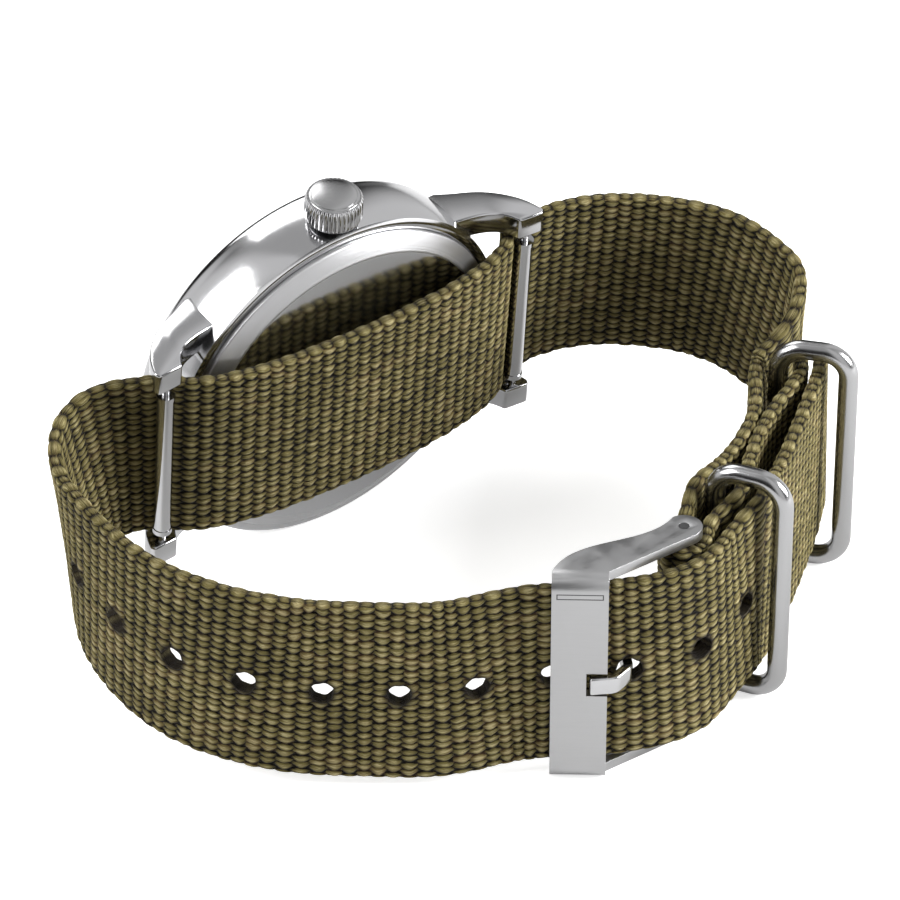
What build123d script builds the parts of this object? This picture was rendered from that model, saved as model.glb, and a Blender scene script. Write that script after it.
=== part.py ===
from build123d import *
import math
import os

os.makedirs("parts", exist_ok=True)

# Field watch on a pull-through webbing strap, lying on its nine o'clock side with the
# strap buckled into a wrist loop. Millimetres, +Z up from the table.
# X runs from six to twelve o'clock, Y the way the dial faces.

# How the head lies: its dial axis leans and rolls away from level
case_lean_angle = 9.25
case_roll_angle = -2.7
case_lift = 8.88
loop_reach_six = 34.91
loop_reach_twelve = 41.92
loop_reach_front = 50.18
loop_reach_dial = 6.99

# Clearances
running_gap = 0.04
seat_gap = 0.02
soft_gap = 0.08
pocket_gap = 0.15
overrun = 1.0

# Strap: one length of woven webbing
strap_width = 19.6
strap_thickness = 1.4
strap_run_depth = 6.95
strap_step = 5.0
turn_steps = 8
hole_radius = 1.25
hole_pitch = 7.0
holes_to_tip = 2
holes_to_case = 8
loop_overhang = 19.6
loop_depth = 50.0
seam_drop = 18.68
seam_gap = 0.1

# Case
case_radius = 18.6
flank_bulge = 0.25
flank_flat = 1.0
band_top = 2.8
band_bottom = -2.9
bezel_inset = 1.5
bezel_top = 4.3
back_edge_inset = 0.6
back_edge_level = -3.1
case_wall = 3.4
snap_step = 1.0
back_seat_step = 1.1
back_seat_level = -2.3
snap_top = -1.2
ledge_step = 0.5
ledge_level = 3.0
ledge_thickness = 0.5

# Crystal
crystal_seat = 1.2
crystal_top = 4.5
crystal_edge = 0.15
crystal_gasket_wall = 0.35

# Case back
back_plate_edge = -3.5
back_plate_level = -4.4
back_plate_inner = -3.5
back_slope_width = 1.7
back_snap_wall = 0.7
back_gasket_thickness = 0.35
back_gasket_width = 0.7

# Lugs and spring bars
lug_gap = 0.2
lug_thickness = 2.5
lug_beyond_bar = 1.6
lug_embedding = 6.0
bar_clearance = 1.8
bar_drop = 4.1
bar_radius = 0.85
bar_bore = 0.55
bar_inset = 1.1
bar_flange_radius = 0.92
bar_flange_length = 0.5
bar_wall = 1.2
tip_radius = 0.38
tip_engagement = 1.1
tip_tail = 2.4
tip_tail_radius = 0.5
lug_hole_radius = 0.42
lug_hole_depth = 1.5

# Crown and stem
crown_level = -0.85
crown_radius = 2.75
crown_gap = 0.35
crown_length = 2.6
crown_dome_radius = 2.15
crown_dome = 0.25
crown_dome_angle = 60.0
crown_bevel = 0.25
crown_pull = 0.9
crown_recess_depth = 0.6
flute_count = 40
flute_radius = 0.16
tube_radius = 1.3
tube_bore = 0.95
tube_inside = 2.3
tube_outside = 1.0
stem_radius = 0.42
stem_inner_end = 6.0
stem_groove_at = 8.2
stem_groove_length = 0.6
stem_groove_radius = 0.25
stem_in_crown = 0.9
crown_gasket_length = 0.7

# Dial side
dial_edge_gap = 0.2
dial_level = 1.2
dial_thickness = 0.4
ring_top_width = 0.5
ring_bottom_width = 1.1
hour_level = 1.85
hand_thickness = 0.15
hand_spacing = 0.4
hour_length = 7.6
hour_width = 1.3
minute_length = 12.2
minute_width = 1.0
second_length = 13.0
second_width = 0.3
second_tail = 4.2
hand_taper_angle = 88.5
hour_pipe_radius = 0.95
minute_pipe_radius = 0.65
second_pipe_radius = 0.3
hand_boss = 0.45
hour_angle = -304.0
minute_angle = -50.0
second_angle = -180.0

# Movement
plate_bottom = -1.6
holder_wall = 2.2
holder_gap = 0.05
bridge_thickness = 0.35
bridge_screw_ring = 11.0
bridge_screw_count = 3
bridge_screw_start = 30.0
bridge_screw_radius = 0.4
bridge_screw_head_radius = 0.8
bridge_screw_head = 0.3
bridge_screw_depth = 1.5
battery_radius = 3.95
battery_thickness = 2.1
battery_top = -0.1
battery_across = -5.0
battery_along = -5.2
clamp_thickness = 0.25
clamp_width = 2.2
clamp_foot = 1.2
coil_radius = 0.8
coil_length = 8.4
coil_core_radius = 0.35
coil_core_length = 10.6
coil_across = -5.6
coil_along = 5.2
coil_turn_angle = 45.0
coil_level = -0.75
lever_thickness = 0.4
lever_width = 2.0
lever_height = 1.3

# Keepers
keeper_wire = 1.9
keeper_depth = 6.7
keeper_over = 3.8
keeper_corner = 2.5
keeper_gap = 0.42

# Buckle
buckle_over = 3.1
buckle_sheet = 1.0
buckle_bend = 1.5
plate_width = 5.15
plate_slant_angle = 143.1
plate_reach = 12.67
plate_offset = 1.38
arm_end_radius = 1.7
pin_radius = 0.8
rivet_radius = 0.5
notch_depth = 1.9
notch_height = 2.5
tongue_width = 1.8
tongue_thickness = 0.9
tongue_bend = 1.0
slot_height = 2.8
slot_run = 2.2

# Sizes that follow from these: what fits the webbing, and what fits inside the case
lug_inner = strap_width / 2 + lug_gap
bar_half_length = lug_inner - bar_inset
keeper_height = strap_width + keeper_over
buckle_height = strap_width + buckle_over
case_rise = strap_width / 2 + case_lift
bar_reach = case_radius + bar_clearance
lug_tip = bar_reach + lug_beyond_bar
lug_root = case_radius - lug_embedding
loop_reach = bar_reach + loop_overhang
bezel_radius = case_radius - bezel_inset
back_edge_radius = case_radius - back_edge_inset
movement_bore = case_radius - case_wall
snap_bore = movement_bore + snap_step
back_seat_radius = snap_bore + back_seat_step
back_flat_radius = back_seat_radius - back_slope_width
back_gasket_radius = back_seat_radius - back_gasket_width
ledge_bore = movement_bore - ledge_step
crystal_radius = ledge_bore + crystal_seat
dial_radius = movement_bore - dial_edge_gap
ring_top_radius = dial_radius - ring_top_width
ring_bottom_radius = dial_radius - ring_bottom_width
holder_outer = movement_bore - holder_gap
holder_inner = holder_outer - holder_wall
plate_radius = holder_inner - holder_gap
crown_inner_end = case_radius + crown_gap
tube_inner_end = case_radius - tube_inside
tube_outer_end = case_radius + tube_outside

# Planes: the loop plane cuts the head through six and twelve o'clock, the dial plane
# is square to it with the dial facing out, and the stem plane looks along the crown
case_centre = Vector(
    (loop_reach_six - loop_reach_twelve) / 2,
    (loop_reach_front - loop_reach_dial) / 2,
    case_rise,
)
loop_plane = Plane(Location(case_centre, (case_lean_angle, case_roll_angle, 0)))
dial_plane = Plane(origin=case_centre, x_dir=loop_plane.z_dir, z_dir=loop_plane.y_dir)
dial_axis = Axis(case_centre, loop_plane.y_dir)
stem_plane = Plane(
    origin=loop_plane.from_local_coords((0, crown_level, 0)),
    x_dir=loop_plane.x_dir,
    z_dir=loop_plane.z_dir,
)
up = Vector(0, 0, 1)


def finish(builder, name):
    builder.part.label = name
    export_step(builder.part, f"parts/{name}.step")


# Case: a turned ring with a cavity open to the back, and two pairs of lugs
lug_top_shares = [
    (0.645, 0.64), (0.723, 0.43), (0.795, 0.26), (0.864, 0.02),
    (0.918, -0.26), (0.964, -0.60), (0.986, -0.86), (1.0, -1.10),
]
lug_under_shares = [
    (0.870, -1.18), (0.855, -1.00), (0.827, -0.79), (0.750, -0.56), (0.640, -0.44),
]
lug_heel_share = (0.985, -1.23)
flank_end = case_radius - flank_bulge
gasket_seat = crystal_radius + crystal_gasket_wall


def lug_point(end, share):
    return (end * share[0] * lug_tip, share[1] * bar_drop)


with BuildPart() as case_body:
    with BuildSketch(loop_plane):
        with BuildLine():
            shoulder = ((flank_end + bezel_radius) / 2, (band_top + 2 * bezel_top) / 3)
            Line((flank_end, band_bottom), (case_radius, -flank_flat))
            Line((case_radius, -flank_flat), (case_radius, flank_flat))
            Line((case_radius, flank_flat), (flank_end, band_top))
            ThreePointArc((flank_end, band_top), shoulder, (bezel_radius, bezel_top))
            Polyline(
                (bezel_radius, bezel_top),
                (0, bezel_top),
                (0, back_edge_level),
                (back_edge_radius, back_edge_level),
                (flank_end, band_bottom),
            )
        make_face()
    revolve(axis=dial_axis)
    for side in (-1, 1):
        for end in (-1, 1):
            with BuildSketch(loop_plane.offset(side * lug_inner)):
                with BuildLine():
                    top = [lug_point(end, share) for share in lug_top_shares]
                    under = [lug_point(end, share) for share in lug_under_shares]
                    heel = lug_point(end, lug_heel_share)
                    Spline(*top)
                    Polyline(top[-1], heel, under[0])
                    Spline(*under)
                    Polyline(
                        under[-1],
                        (end * lug_root, under[-1][1]),
                        (end * lug_root, top[0][1]),
                        top[0],
                    )
                make_face()
            extrude(amount=side * lug_thickness)
    with BuildSketch(loop_plane):
        with BuildLine():
            Polyline(
                (0, bezel_top + overrun),
                (gasket_seat, bezel_top + overrun),
                (gasket_seat, ledge_level),
                (ledge_bore, ledge_level),
                (ledge_bore, ledge_level - ledge_thickness),
                (movement_bore, ledge_level - ledge_thickness),
                (movement_bore, snap_top),
                (snap_bore, snap_top),
                (snap_bore, back_seat_level),
                (back_seat_radius, back_seat_level),
                (back_seat_radius, back_edge_level - overrun),
                (0, back_edge_level - overrun),
                close=True,
            )
        make_face()
    revolve(axis=dial_axis, mode=Mode.SUBTRACT)
    # A bore for the crown tube and a shallow recess behind the crown
    with BuildSketch(stem_plane.offset(movement_bore - overrun)):
        Circle(tube_radius)
    extrude(amount=case_radius, mode=Mode.SUBTRACT)
    with BuildSketch(stem_plane.offset(crown_inner_end - crown_recess_depth)):
        Circle(crown_radius + pocket_gap)
    extrude(amount=case_radius, mode=Mode.SUBTRACT)
    # Blind holes for the spring bar tips
    for side in (-1, 1):
        with BuildSketch(loop_plane.offset(side * (lug_inner - overrun))):
            with Locations((bar_reach, -bar_drop), (-bar_reach, -bar_drop)):
                Circle(lug_hole_radius)
        extrude(amount=side * (lug_hole_depth + overrun), mode=Mode.SUBTRACT)
finish(case_body, "case_body")

with BuildPart() as crystal:
    with BuildSketch(dial_plane.offset(ledge_level)):
        Circle(crystal_radius - seat_gap)
    extrude(amount=crystal_top - ledge_level)
    chamfer(crystal.faces().sort_by(dial_axis)[-1].edges(), crystal_edge)
finish(crystal, "crystal")

with BuildPart() as crystal_gasket:
    with BuildSketch(dial_plane.offset(ledge_level)):
        Circle(gasket_seat)
        Circle(crystal_radius, mode=Mode.SUBTRACT)
    extrude(amount=bezel_top - ledge_level)
finish(crystal_gasket, "crystal_gasket")

# Case back: a pressed cover with a snap rim that grips the case from inside
back_outer = back_seat_radius - running_gap
snap_outer = snap_bore - running_gap
gasket_face = back_seat_level - back_gasket_thickness
snap_rim_top = snap_top - back_gasket_thickness

with BuildPart() as case_back:
    with BuildSketch(loop_plane):
        with BuildLine():
            Polyline(
                (0, back_plate_level),
                (back_flat_radius, back_plate_level),
                (back_outer, back_plate_edge),
                (back_outer, gasket_face),
                (snap_outer, gasket_face),
                (snap_outer, snap_rim_top),
                (snap_outer - back_snap_wall, snap_rim_top),
                (snap_outer - back_snap_wall, back_plate_inner),
                (0, back_plate_inner),
                close=True,
            )
        make_face()
    revolve(axis=dial_axis)
finish(case_back, "case_back")

with BuildPart() as case_back_gasket:
    with BuildSketch(dial_plane.offset(gasket_face)):
        Circle(back_outer)
        Circle(back_gasket_radius, mode=Mode.SUBTRACT)
    extrude(amount=back_gasket_thickness)
finish(case_back_gasket, "case_back_gasket")

# Dial, the sloped ring round it and the three hands on nested pipes
minute_level = hour_level + hand_spacing
second_level = minute_level + hand_spacing
pipe_bottom = dial_level - hand_spacing
dial_face = dial_level + dial_thickness
ring_top = ledge_level - ledge_thickness - seat_gap

with BuildPart() as dial:
    with BuildSketch(dial_plane.offset(dial_level)):
        Circle(dial_radius)
        Circle(hour_pipe_radius + pocket_gap, mode=Mode.SUBTRACT)
    extrude(amount=dial_thickness)
finish(dial, "dial")

with BuildPart() as chapter_ring:
    with BuildSketch(loop_plane):
        with BuildLine():
            Polyline(
                (ring_bottom_radius, dial_face + seat_gap),
                (dial_radius, dial_face + seat_gap),
                (dial_radius, ring_top),
                (ring_top_radius, ring_top),
                close=True,
            )
        make_face()
    revolve(axis=dial_axis)
finish(chapter_ring, "chapter_ring")

with BuildPart() as hour_hand:
    with BuildSketch(dial_plane.offset(hour_level)):
        Circle(hour_pipe_radius + hand_boss)
        with Locations(Location((0, 0, 0), hour_angle)):
            with Locations((0, hour_length / 2)):
                Trapezoid(hour_width, hour_length, hand_taper_angle)
        Circle(minute_pipe_radius + running_gap, mode=Mode.SUBTRACT)
    extrude(amount=hand_thickness)
    with BuildSketch(dial_plane.offset(pipe_bottom)):
        Circle(hour_pipe_radius)
        Circle(minute_pipe_radius + running_gap, mode=Mode.SUBTRACT)
    extrude(amount=hour_level - pipe_bottom + hand_thickness)
finish(hour_hand, "hour_hand")

with BuildPart() as minute_hand:
    with BuildSketch(dial_plane.offset(minute_level)):
        Circle(minute_pipe_radius + hand_boss)
        with Locations(Location((0, 0, 0), minute_angle)):
            with Locations((0, minute_length / 2)):
                Trapezoid(minute_width, minute_length, hand_taper_angle)
        Circle(second_pipe_radius + running_gap, mode=Mode.SUBTRACT)
    extrude(amount=hand_thickness)
    with BuildSketch(dial_plane.offset(pipe_bottom)):
        Circle(minute_pipe_radius)
        Circle(second_pipe_radius + running_gap, mode=Mode.SUBTRACT)
    extrude(amount=minute_level - pipe_bottom + hand_thickness)
finish(minute_hand, "minute_hand")

with BuildPart() as second_hand:
    with BuildSketch(dial_plane.offset(second_level)):
        Circle(second_pipe_radius + hand_boss)
        with Locations(Location((0, 0, 0), second_angle)):
            with Locations((0, (second_length - second_tail) / 2)):
                Rectangle(second_width, second_length + second_tail)
    extrude(amount=hand_thickness)
    with BuildSketch(dial_plane.offset(pipe_bottom)):
        Circle(second_pipe_radius)
    extrude(amount=second_level - pipe_bottom + hand_thickness)
finish(second_hand, "second_hand")

# Movement: plate, holder, bridge and screws, cell and clamp, coil on its core
dial_underside = dial_level - seat_gap
plate_thickness = dial_underside - plate_bottom
bridge_back = plate_bottom - seat_gap - bridge_thickness
battery_bottom = battery_top - battery_thickness
lever_at = stem_groove_at + stem_groove_length / 2
battery_place = (battery_across, battery_along)
screw_places = PolarLocations(bridge_screw_ring, bridge_screw_count, bridge_screw_start)

with BuildPart() as main_plate:
    with BuildSketch(dial_plane.offset(plate_bottom)):
        Circle(plate_radius)
        Circle(hour_pipe_radius + running_gap, mode=Mode.SUBTRACT)
    extrude(amount=plate_thickness)
    with BuildSketch(dial_plane.offset(plate_bottom - overrun)):
        with Locations(battery_place):
            Circle(battery_radius + pocket_gap)
    extrude(amount=battery_top - plate_bottom + overrun, mode=Mode.SUBTRACT)
    with BuildSketch(dial_plane.offset(plate_bottom - overrun)):
        with Locations(Location((coil_across, coil_along, 0), coil_turn_angle)):
            Rectangle(coil_core_length + pocket_gap * 2, (coil_radius + pocket_gap) * 2)
    coil_pocket_top = coil_level + coil_radius + pocket_gap
    extrude(amount=coil_pocket_top - plate_bottom + overrun, mode=Mode.SUBTRACT)
    with BuildSketch(stem_plane.offset(stem_inner_end - pocket_gap)):
        Circle(stem_radius + running_gap)
    extrude(amount=plate_radius, mode=Mode.SUBTRACT)
    with BuildSketch(dial_plane.offset(plate_bottom - overrun)):
        with Locations((lever_at + crown_pull / 2, 0)):
            Rectangle(lever_thickness + crown_pull + pocket_gap * 2, lever_width + pocket_gap * 2)
    lever_pocket_top = crown_level + lever_height / 2 + pocket_gap
    extrude(amount=lever_pocket_top - plate_bottom + overrun, mode=Mode.SUBTRACT)
    with BuildSketch(dial_plane.offset(plate_bottom - overrun)):
        with screw_places:
            Circle(bridge_screw_radius + seat_gap)
    extrude(amount=bridge_screw_depth + overrun, mode=Mode.SUBTRACT)
finish(main_plate, "main_plate")

with BuildPart() as movement_holder:
    with BuildSketch(dial_plane.offset(plate_bottom)):
        Circle(holder_outer)
        Circle(holder_inner, mode=Mode.SUBTRACT)
    extrude(amount=plate_thickness)
    with BuildSketch(stem_plane.offset(plate_radius - overrun)):
        Circle(stem_radius + pocket_gap)
    extrude(amount=holder_outer, mode=Mode.SUBTRACT)
finish(movement_holder, "movement_holder")

with BuildPart() as bridge:
    with BuildSketch(dial_plane.offset(bridge_back)):
        Circle(plate_radius - pocket_gap)
        with Locations(battery_place):
            Circle(battery_radius + pocket_gap, mode=Mode.SUBTRACT)
        with screw_places:
            Circle(bridge_screw_radius + seat_gap, mode=Mode.SUBTRACT)
    extrude(amount=bridge_thickness)
finish(bridge, "bridge")

with BuildPart() as bridge_screws:
    with BuildSketch(dial_plane.offset(bridge_back - seat_gap)):
        with screw_places:
            Circle(bridge_screw_head_radius)
    extrude(amount=-bridge_screw_head)
    with BuildSketch(dial_plane.offset(bridge_back - seat_gap)):
        with screw_places:
            Circle(bridge_screw_radius)
    extrude(amount=bridge_thickness + bridge_screw_depth)
finish(bridge_screws, "bridge_screws")

with BuildPart() as battery:
    with BuildSketch(dial_plane.offset(battery_bottom)):
        with Locations(battery_place):
            Circle(battery_radius)
    extrude(amount=battery_thickness - seat_gap)
finish(battery, "battery")

# Clamp: a sprung strip over the cell with a foot on the bridge at each end
clamp_back = battery_bottom - seat_gap - clamp_thickness
foot_place = battery_radius + pocket_gap + clamp_foot / 2

with BuildPart() as battery_clamp:
    with BuildSketch(dial_plane.offset(clamp_back)):
        with Locations(battery_place):
            Rectangle(foot_place * 2 + clamp_foot, clamp_width)
    extrude(amount=clamp_thickness)
    with BuildSketch(dial_plane.offset(clamp_back)):
        with Locations(battery_place):
            with Locations((-foot_place, 0), (foot_place, 0)):
                Rectangle(clamp_foot, clamp_width)
    extrude(amount=bridge_back - seat_gap - clamp_back)
finish(battery_clamp, "battery_clamp")

coil_dir = loop_plane.z_dir.rotate(Axis(case_centre, loop_plane.y_dir), coil_turn_angle)
coil_plane = Plane(
    origin=dial_plane.from_local_coords((coil_across, coil_along, coil_level)),
    x_dir=loop_plane.y_dir,
    z_dir=coil_dir,
)

with BuildPart() as coil:
    with BuildSketch(coil_plane.offset(-coil_length / 2)):
        Circle(coil_radius)
        Circle(coil_core_radius + seat_gap, mode=Mode.SUBTRACT)
    extrude(amount=coil_length)
finish(coil, "coil")

with BuildPart() as coil_core:
    with BuildSketch(coil_plane.offset(-coil_core_length / 2)):
        Circle(coil_core_radius)
    extrude(amount=coil_core_length)
finish(coil_core, "coil_core")

# Setting lever: a small fork astride the groove in the stem
with BuildPart() as setting_lever:
    with BuildSketch(stem_plane.offset(lever_at - lever_thickness / 2)):
        Rectangle(lever_width, lever_height)
        Circle(stem_groove_radius + running_gap, mode=Mode.SUBTRACT)
        with Locations((0, -lever_height / 2)):
            Rectangle((stem_groove_radius + running_gap) * 2, lever_height, mode=Mode.SUBTRACT)
    extrude(amount=lever_thickness)
finish(setting_lever, "setting_lever")

with BuildPart() as stem:
    with BuildSketch(stem_plane.offset(stem_inner_end)):
        Circle(stem_radius)
    extrude(amount=crown_inner_end + stem_in_crown - stem_inner_end)
    with BuildSketch(stem_plane.offset(stem_groove_at)):
        Circle(stem_radius + overrun)
        Circle(stem_groove_radius, mode=Mode.SUBTRACT)
    extrude(amount=stem_groove_length, mode=Mode.SUBTRACT)
finish(stem, "stem")

with BuildPart() as crown_tube:
    with BuildSketch(stem_plane.offset(tube_inner_end)):
        Circle(tube_radius - seat_gap)
        Circle(tube_bore, mode=Mode.SUBTRACT)
    extrude(amount=tube_outer_end - tube_inner_end)
finish(crown_tube, "crown_tube")

# Crown: fluted round its edge, hollow behind to clear the tube, domed in front
crown_outer_end = crown_inner_end + crown_length

with BuildPart() as crown:
    with BuildSketch(stem_plane.offset(crown_inner_end)):
        Circle(crown_radius)
    extrude(amount=crown_length)
    chamfer(crown.edges().filter_by(GeomType.CIRCLE), crown_bevel)
    with BuildSketch(stem_plane.offset(crown_inner_end - overrun)):
        with PolarLocations(crown_radius, flute_count):
            RegularPolygon(flute_radius, 4)
    extrude(amount=crown_length + overrun * 2, mode=Mode.SUBTRACT)
    with BuildSketch(stem_plane.offset(crown_outer_end)):
        Circle(crown_dome_radius)
    extrude(amount=crown_dome, taper=crown_dome_angle)
    with BuildSketch(stem_plane.offset(crown_inner_end)):
        Circle(tube_radius + pocket_gap)
    extrude(amount=tube_outer_end - crown_inner_end + pocket_gap, mode=Mode.SUBTRACT)
    with BuildSketch(stem_plane.offset(crown_inner_end)):
        Circle(stem_radius + seat_gap)
    extrude(amount=crown_length - crown_bevel, mode=Mode.SUBTRACT)
finish(crown, "crown")

# Sealing ring round the stem, sliding in the tube
with BuildPart() as crown_gasket:
    with BuildSketch(stem_plane.offset(tube_inner_end + crown_gasket_length)):
        Circle(tube_bore - running_gap)
        Circle(stem_radius + seat_gap, mode=Mode.SUBTRACT)
    extrude(amount=crown_gasket_length)
finish(crown_gasket, "crown_gasket")

# Spring bars: a flanged tube between the lugs with a sprung tip at each end
bars = {"six": -bar_reach, "twelve": bar_reach}

for place, reach in bars.items():
    with BuildPart() as bar_tube:
        with BuildSketch(loop_plane.offset(-bar_half_length)):
            with Locations((reach, -bar_drop)):
                Circle(bar_radius)
        extrude(amount=bar_half_length * 2)
        for start in (-bar_half_length, bar_half_length - bar_flange_length):
            with BuildSketch(loop_plane.offset(start)):
                with Locations((reach, -bar_drop)):
                    Circle(bar_flange_radius)
            extrude(amount=bar_flange_length)
        with BuildSketch(loop_plane.offset(-bar_half_length + bar_wall)):
            with Locations((reach, -bar_drop)):
                Circle(bar_bore)
        extrude(amount=(bar_half_length - bar_wall) * 2, mode=Mode.SUBTRACT)
        with BuildSketch(loop_plane.offset(-bar_half_length - overrun)):
            with Locations((reach, -bar_drop)):
                Circle(tip_radius + running_gap)
        extrude(amount=(bar_half_length + overrun) * 2, mode=Mode.SUBTRACT)
    finish(bar_tube, f"bar_tube_{place}")

    for side_name, side in (("upper", 1), ("lower", -1)):
        with BuildPart() as bar_tip:
            tail_face = bar_half_length - bar_wall - seat_gap
            with BuildSketch(loop_plane.offset(side * (tail_face - tip_tail))):
                with Locations((reach, -bar_drop)):
                    Circle(tip_tail_radius)
            extrude(amount=side * tip_tail)
            with BuildSketch(loop_plane.offset(side * tail_face)):
                with Locations((reach, -bar_drop)):
                    Circle(tip_radius)
            extrude(amount=side * (lug_inner + tip_engagement - tail_face))
        finish(bar_tip, f"bar_tip_{place}_{side_name}")

# Strap route. Each stop has a centre and the way the width runs there.


def head_stop(across, depth, level, upright, flare):
    # A stop in the head's own plane, as shares of the loop; upright turns the width
    # from the head's lean to vertical, flare tips its upper edge outward at six o'clock
    centre = loop_plane.from_local_coords(
        (across * loop_reach, depth * loop_depth, level * strap_width)
    )
    ruling = loop_plane.z_dir * (1 - upright) + up * upright - loop_plane.x_dir * flare
    return centre, ruling.normalized()


# Between the bars the strap runs over each bar and down across the case back
bar_pass = bar_drop - bar_flange_radius - strap_thickness / 2 - soft_gap
case_run_shares = [
    (1.0, 0.0), (0.952, 0.06), (0.911, 0.31), (0.848, 0.50),
    (0.765, 0.66), (0.61, 0.83), (0.45, 0.94), (0.27, 1.0),
]


def case_stop(side, share):
    depth = bar_pass + share[1] * (strap_run_depth - bar_pass)
    centre = loop_plane.from_local_coords((side * share[0] * bar_reach, -depth, 0))
    return centre, loop_plane.z_dir


# From the buckle round the six o'clock side to the bar
six_side_shares = [
    (-0.060, -0.933, -0.004, 1.0, 0.0),
    (-0.197, -0.876, -0.012, 1.0, 0.0),
    (-0.353, -0.8275, -0.043, 1.0, 0.0),
    (-0.495, -0.755, -0.055, 1.0, 0.0),
    (-0.6275, -0.674, -0.065, 1.0, 0.0),
    (-0.715, -0.606, -0.060, 1.0, 0.0),
    (-0.785, -0.524, -0.065, 1.0, 0.0),
    (-0.830, -0.430, -0.075, 1.0, 0.01),
    (-0.845, -0.330, -0.090, 0.9, 0.02),
    (-0.840, -0.230, -0.095, 0.8, 0.05),
    (-0.815, -0.148, -0.090, 0.7, 0.10),
    (-0.770, -0.082, -0.065, 0.6, 0.13),
    (-0.705, -0.036, -0.037, 0.5, 0.14),
    (-0.630, -0.021, -0.014, 0.4, 0.12),
    (-0.565, -0.032, -0.004, 0.2, 0.05),
]
# From the bar at twelve o'clock round to the keepers
twelve_side_shares = [
    (0.5875, -0.043, 0.0, 0.0, 0.0),
    (0.675, -0.052, 0.0, 0.0, 0.0),
    (0.775, -0.084, 0.0, 0.0, 0.0),
    (0.8625, -0.134, 0.0, 0.0, 0.0),
    (0.9325, -0.190, 0.0, 0.0, 0.0),
    (0.986, -0.255, -0.010, 0.1, 0.0),
    (1.014, -0.333, -0.025, 0.2, 0.0),
    (1.018, -0.400, -0.040, 0.4, 0.0),
    (0.988, -0.460, -0.055, 0.6, 0.0),
    (0.930, -0.511, -0.075, 0.8, 0.0),
]

# The seam line: where the strap's buckle end is folded back and sewn to itself. It runs
# from the pin through the inner bars of both keepers, and the tail lies outside it.
# Each stop: across, depth, level and the tail's distance out.
seam_shares = [
    (0.208, -0.925, -0.382, 0.465),
    (0.2905, -0.889, -0.354, 0.54),
    (0.368, -0.852, -0.328, 0.62),
    (0.4605, -0.808, -0.340, 0.60),
    (0.553, -0.759, -0.336, 0.575),
    (0.6405, -0.708, -0.332, 0.552),
    (0.718, -0.658, -0.328, 0.552),
    (0.7925, -0.606, -0.324, 0.563),
    (0.8525, -0.562, -0.300, 0.563),
]
pin_stop = 0
front_keeper_index = 2
rear_keeper_index = 7
sewn = (strap_thickness + seam_gap) / 2
round_pin = pin_radius + strap_thickness / 2 + pocket_gap
round_wire = keeper_wire / 2 + strap_thickness / 2 + keeper_gap
parted = (round_wire + sewn) / 2
seam_spread = [round_pin, parted, round_wire, parted, sewn, sewn, parted, round_wire, parted]

seam = [
    case_centre + Vector(x * loop_reach, y * loop_depth, z * seam_drop)
    for x, y, z, _ in seam_shares
]


six_side = [head_stop(*share) for share in six_side_shares]
twelve_side = [head_stop(*share) for share in twelve_side_shares]
seam_line = [six_side[0][0]] + seam + [seam[-1] * 2 - seam[-2]]


def outward(before, after):
    # Level direction square to the seam, away from the wrist
    along = after - before
    return Vector(along.Y, -along.X, 0).normalized()


normals = [outward(before, after) for before, after in zip(seam_line, seam_line[2:])]
wrist_side = [(p - n * s, up) for p, n, s in zip(seam, normals, seam_spread)]
fold_side = [(p + n * s, up) for p, n, s in zip(seam, normals, seam_spread)]
tail_side = [
    (p + n * (share[3] * keeper_depth), up)
    for p, n, share in zip(seam, normals, seam_shares)
]

case_run = [case_stop(-1, share) for share in case_run_shares]
case_run += [case_stop(1, share) for share in reversed(case_run_shares)]
pin_centre = seam[pin_stop]
pin_out = normals[pin_stop]
pin_along = up.cross(pin_out)
turn_stops = []
for count in range(1, turn_steps):
    turned = math.pi * count / turn_steps
    offset = pin_out * -math.cos(turned) - pin_along * math.sin(turned)
    turn_stops.append((pin_centre + offset * round_pin, up))
route = tail_side[::-1] + six_side + case_run + twelve_side
route += wrist_side[::-1] + turn_stops + fold_side


class Ribbon:
    # Webbing along a spline through the stops
    def __init__(self, stops):
        self.spine = Wire([Spline(*[centre for centre, _ in stops])])
        self.rulings = [ruling for _, ruling in stops]
        self.marks = [self.mark(centre) for centre, _ in stops]

    def mark(self, point):
        # Distance along the spine of the place nearest to a point
        nearest = self.spine.closest_points(point)[0]
        return self.spine.param_at_point(nearest) * self.spine.length

    def ruling(self, distance):
        spans = zip(self.marks, self.marks[1:], self.rulings, self.rulings[1:])
        for start, end, first, second in spans:
            if distance <= end:
                share = (distance - start) / (end - start)
                return first * (1 - share) + second * share
        return self.rulings[-1]

    def plane(self, distance):
        # X across the width, Y through the thickness, Z along the webbing
        centre = self.spine.position_at(distance, position_mode=PositionMode.LENGTH)
        tangent = self.spine.tangent_at(distance, position_mode=PositionMode.LENGTH)
        ruling = self.ruling(distance)
        across = ruling - tangent * ruling.dot(tangent)
        return Plane(origin=centre, x_dir=across.normalized(), z_dir=tangent)

    def planes(self, step):
        # At every stop and, between stops further apart than a step, in between
        distances = [0.0]
        for start, end in zip(self.marks, self.marks[1:]):
            parts = math.ceil((end - start) / step)
            distances += [start + (end - start) * part / parts for part in range(1, parts + 1)]
        return [self.plane(distance) for distance in distances]


webbing = Ribbon(route)

# Buckle, in a level plane through its pin: x and y as the watch's own
plate_dir = Vector(1, 0, 0).rotate(Axis.Z, plate_slant_angle)
plate_in = Vector(plate_dir.Y, -plate_dir.X, 0)
plate_middle = Vector(pin_centre.X - plate_reach, pin_centre.Y - plate_offset, 0)
plate_right = plate_middle - plate_dir * (plate_width / 2)
plate_left = plate_middle + plate_dir * (plate_width / 2)
floor_pin = Vector(pin_centre.X, pin_centre.Y, 0)

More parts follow.
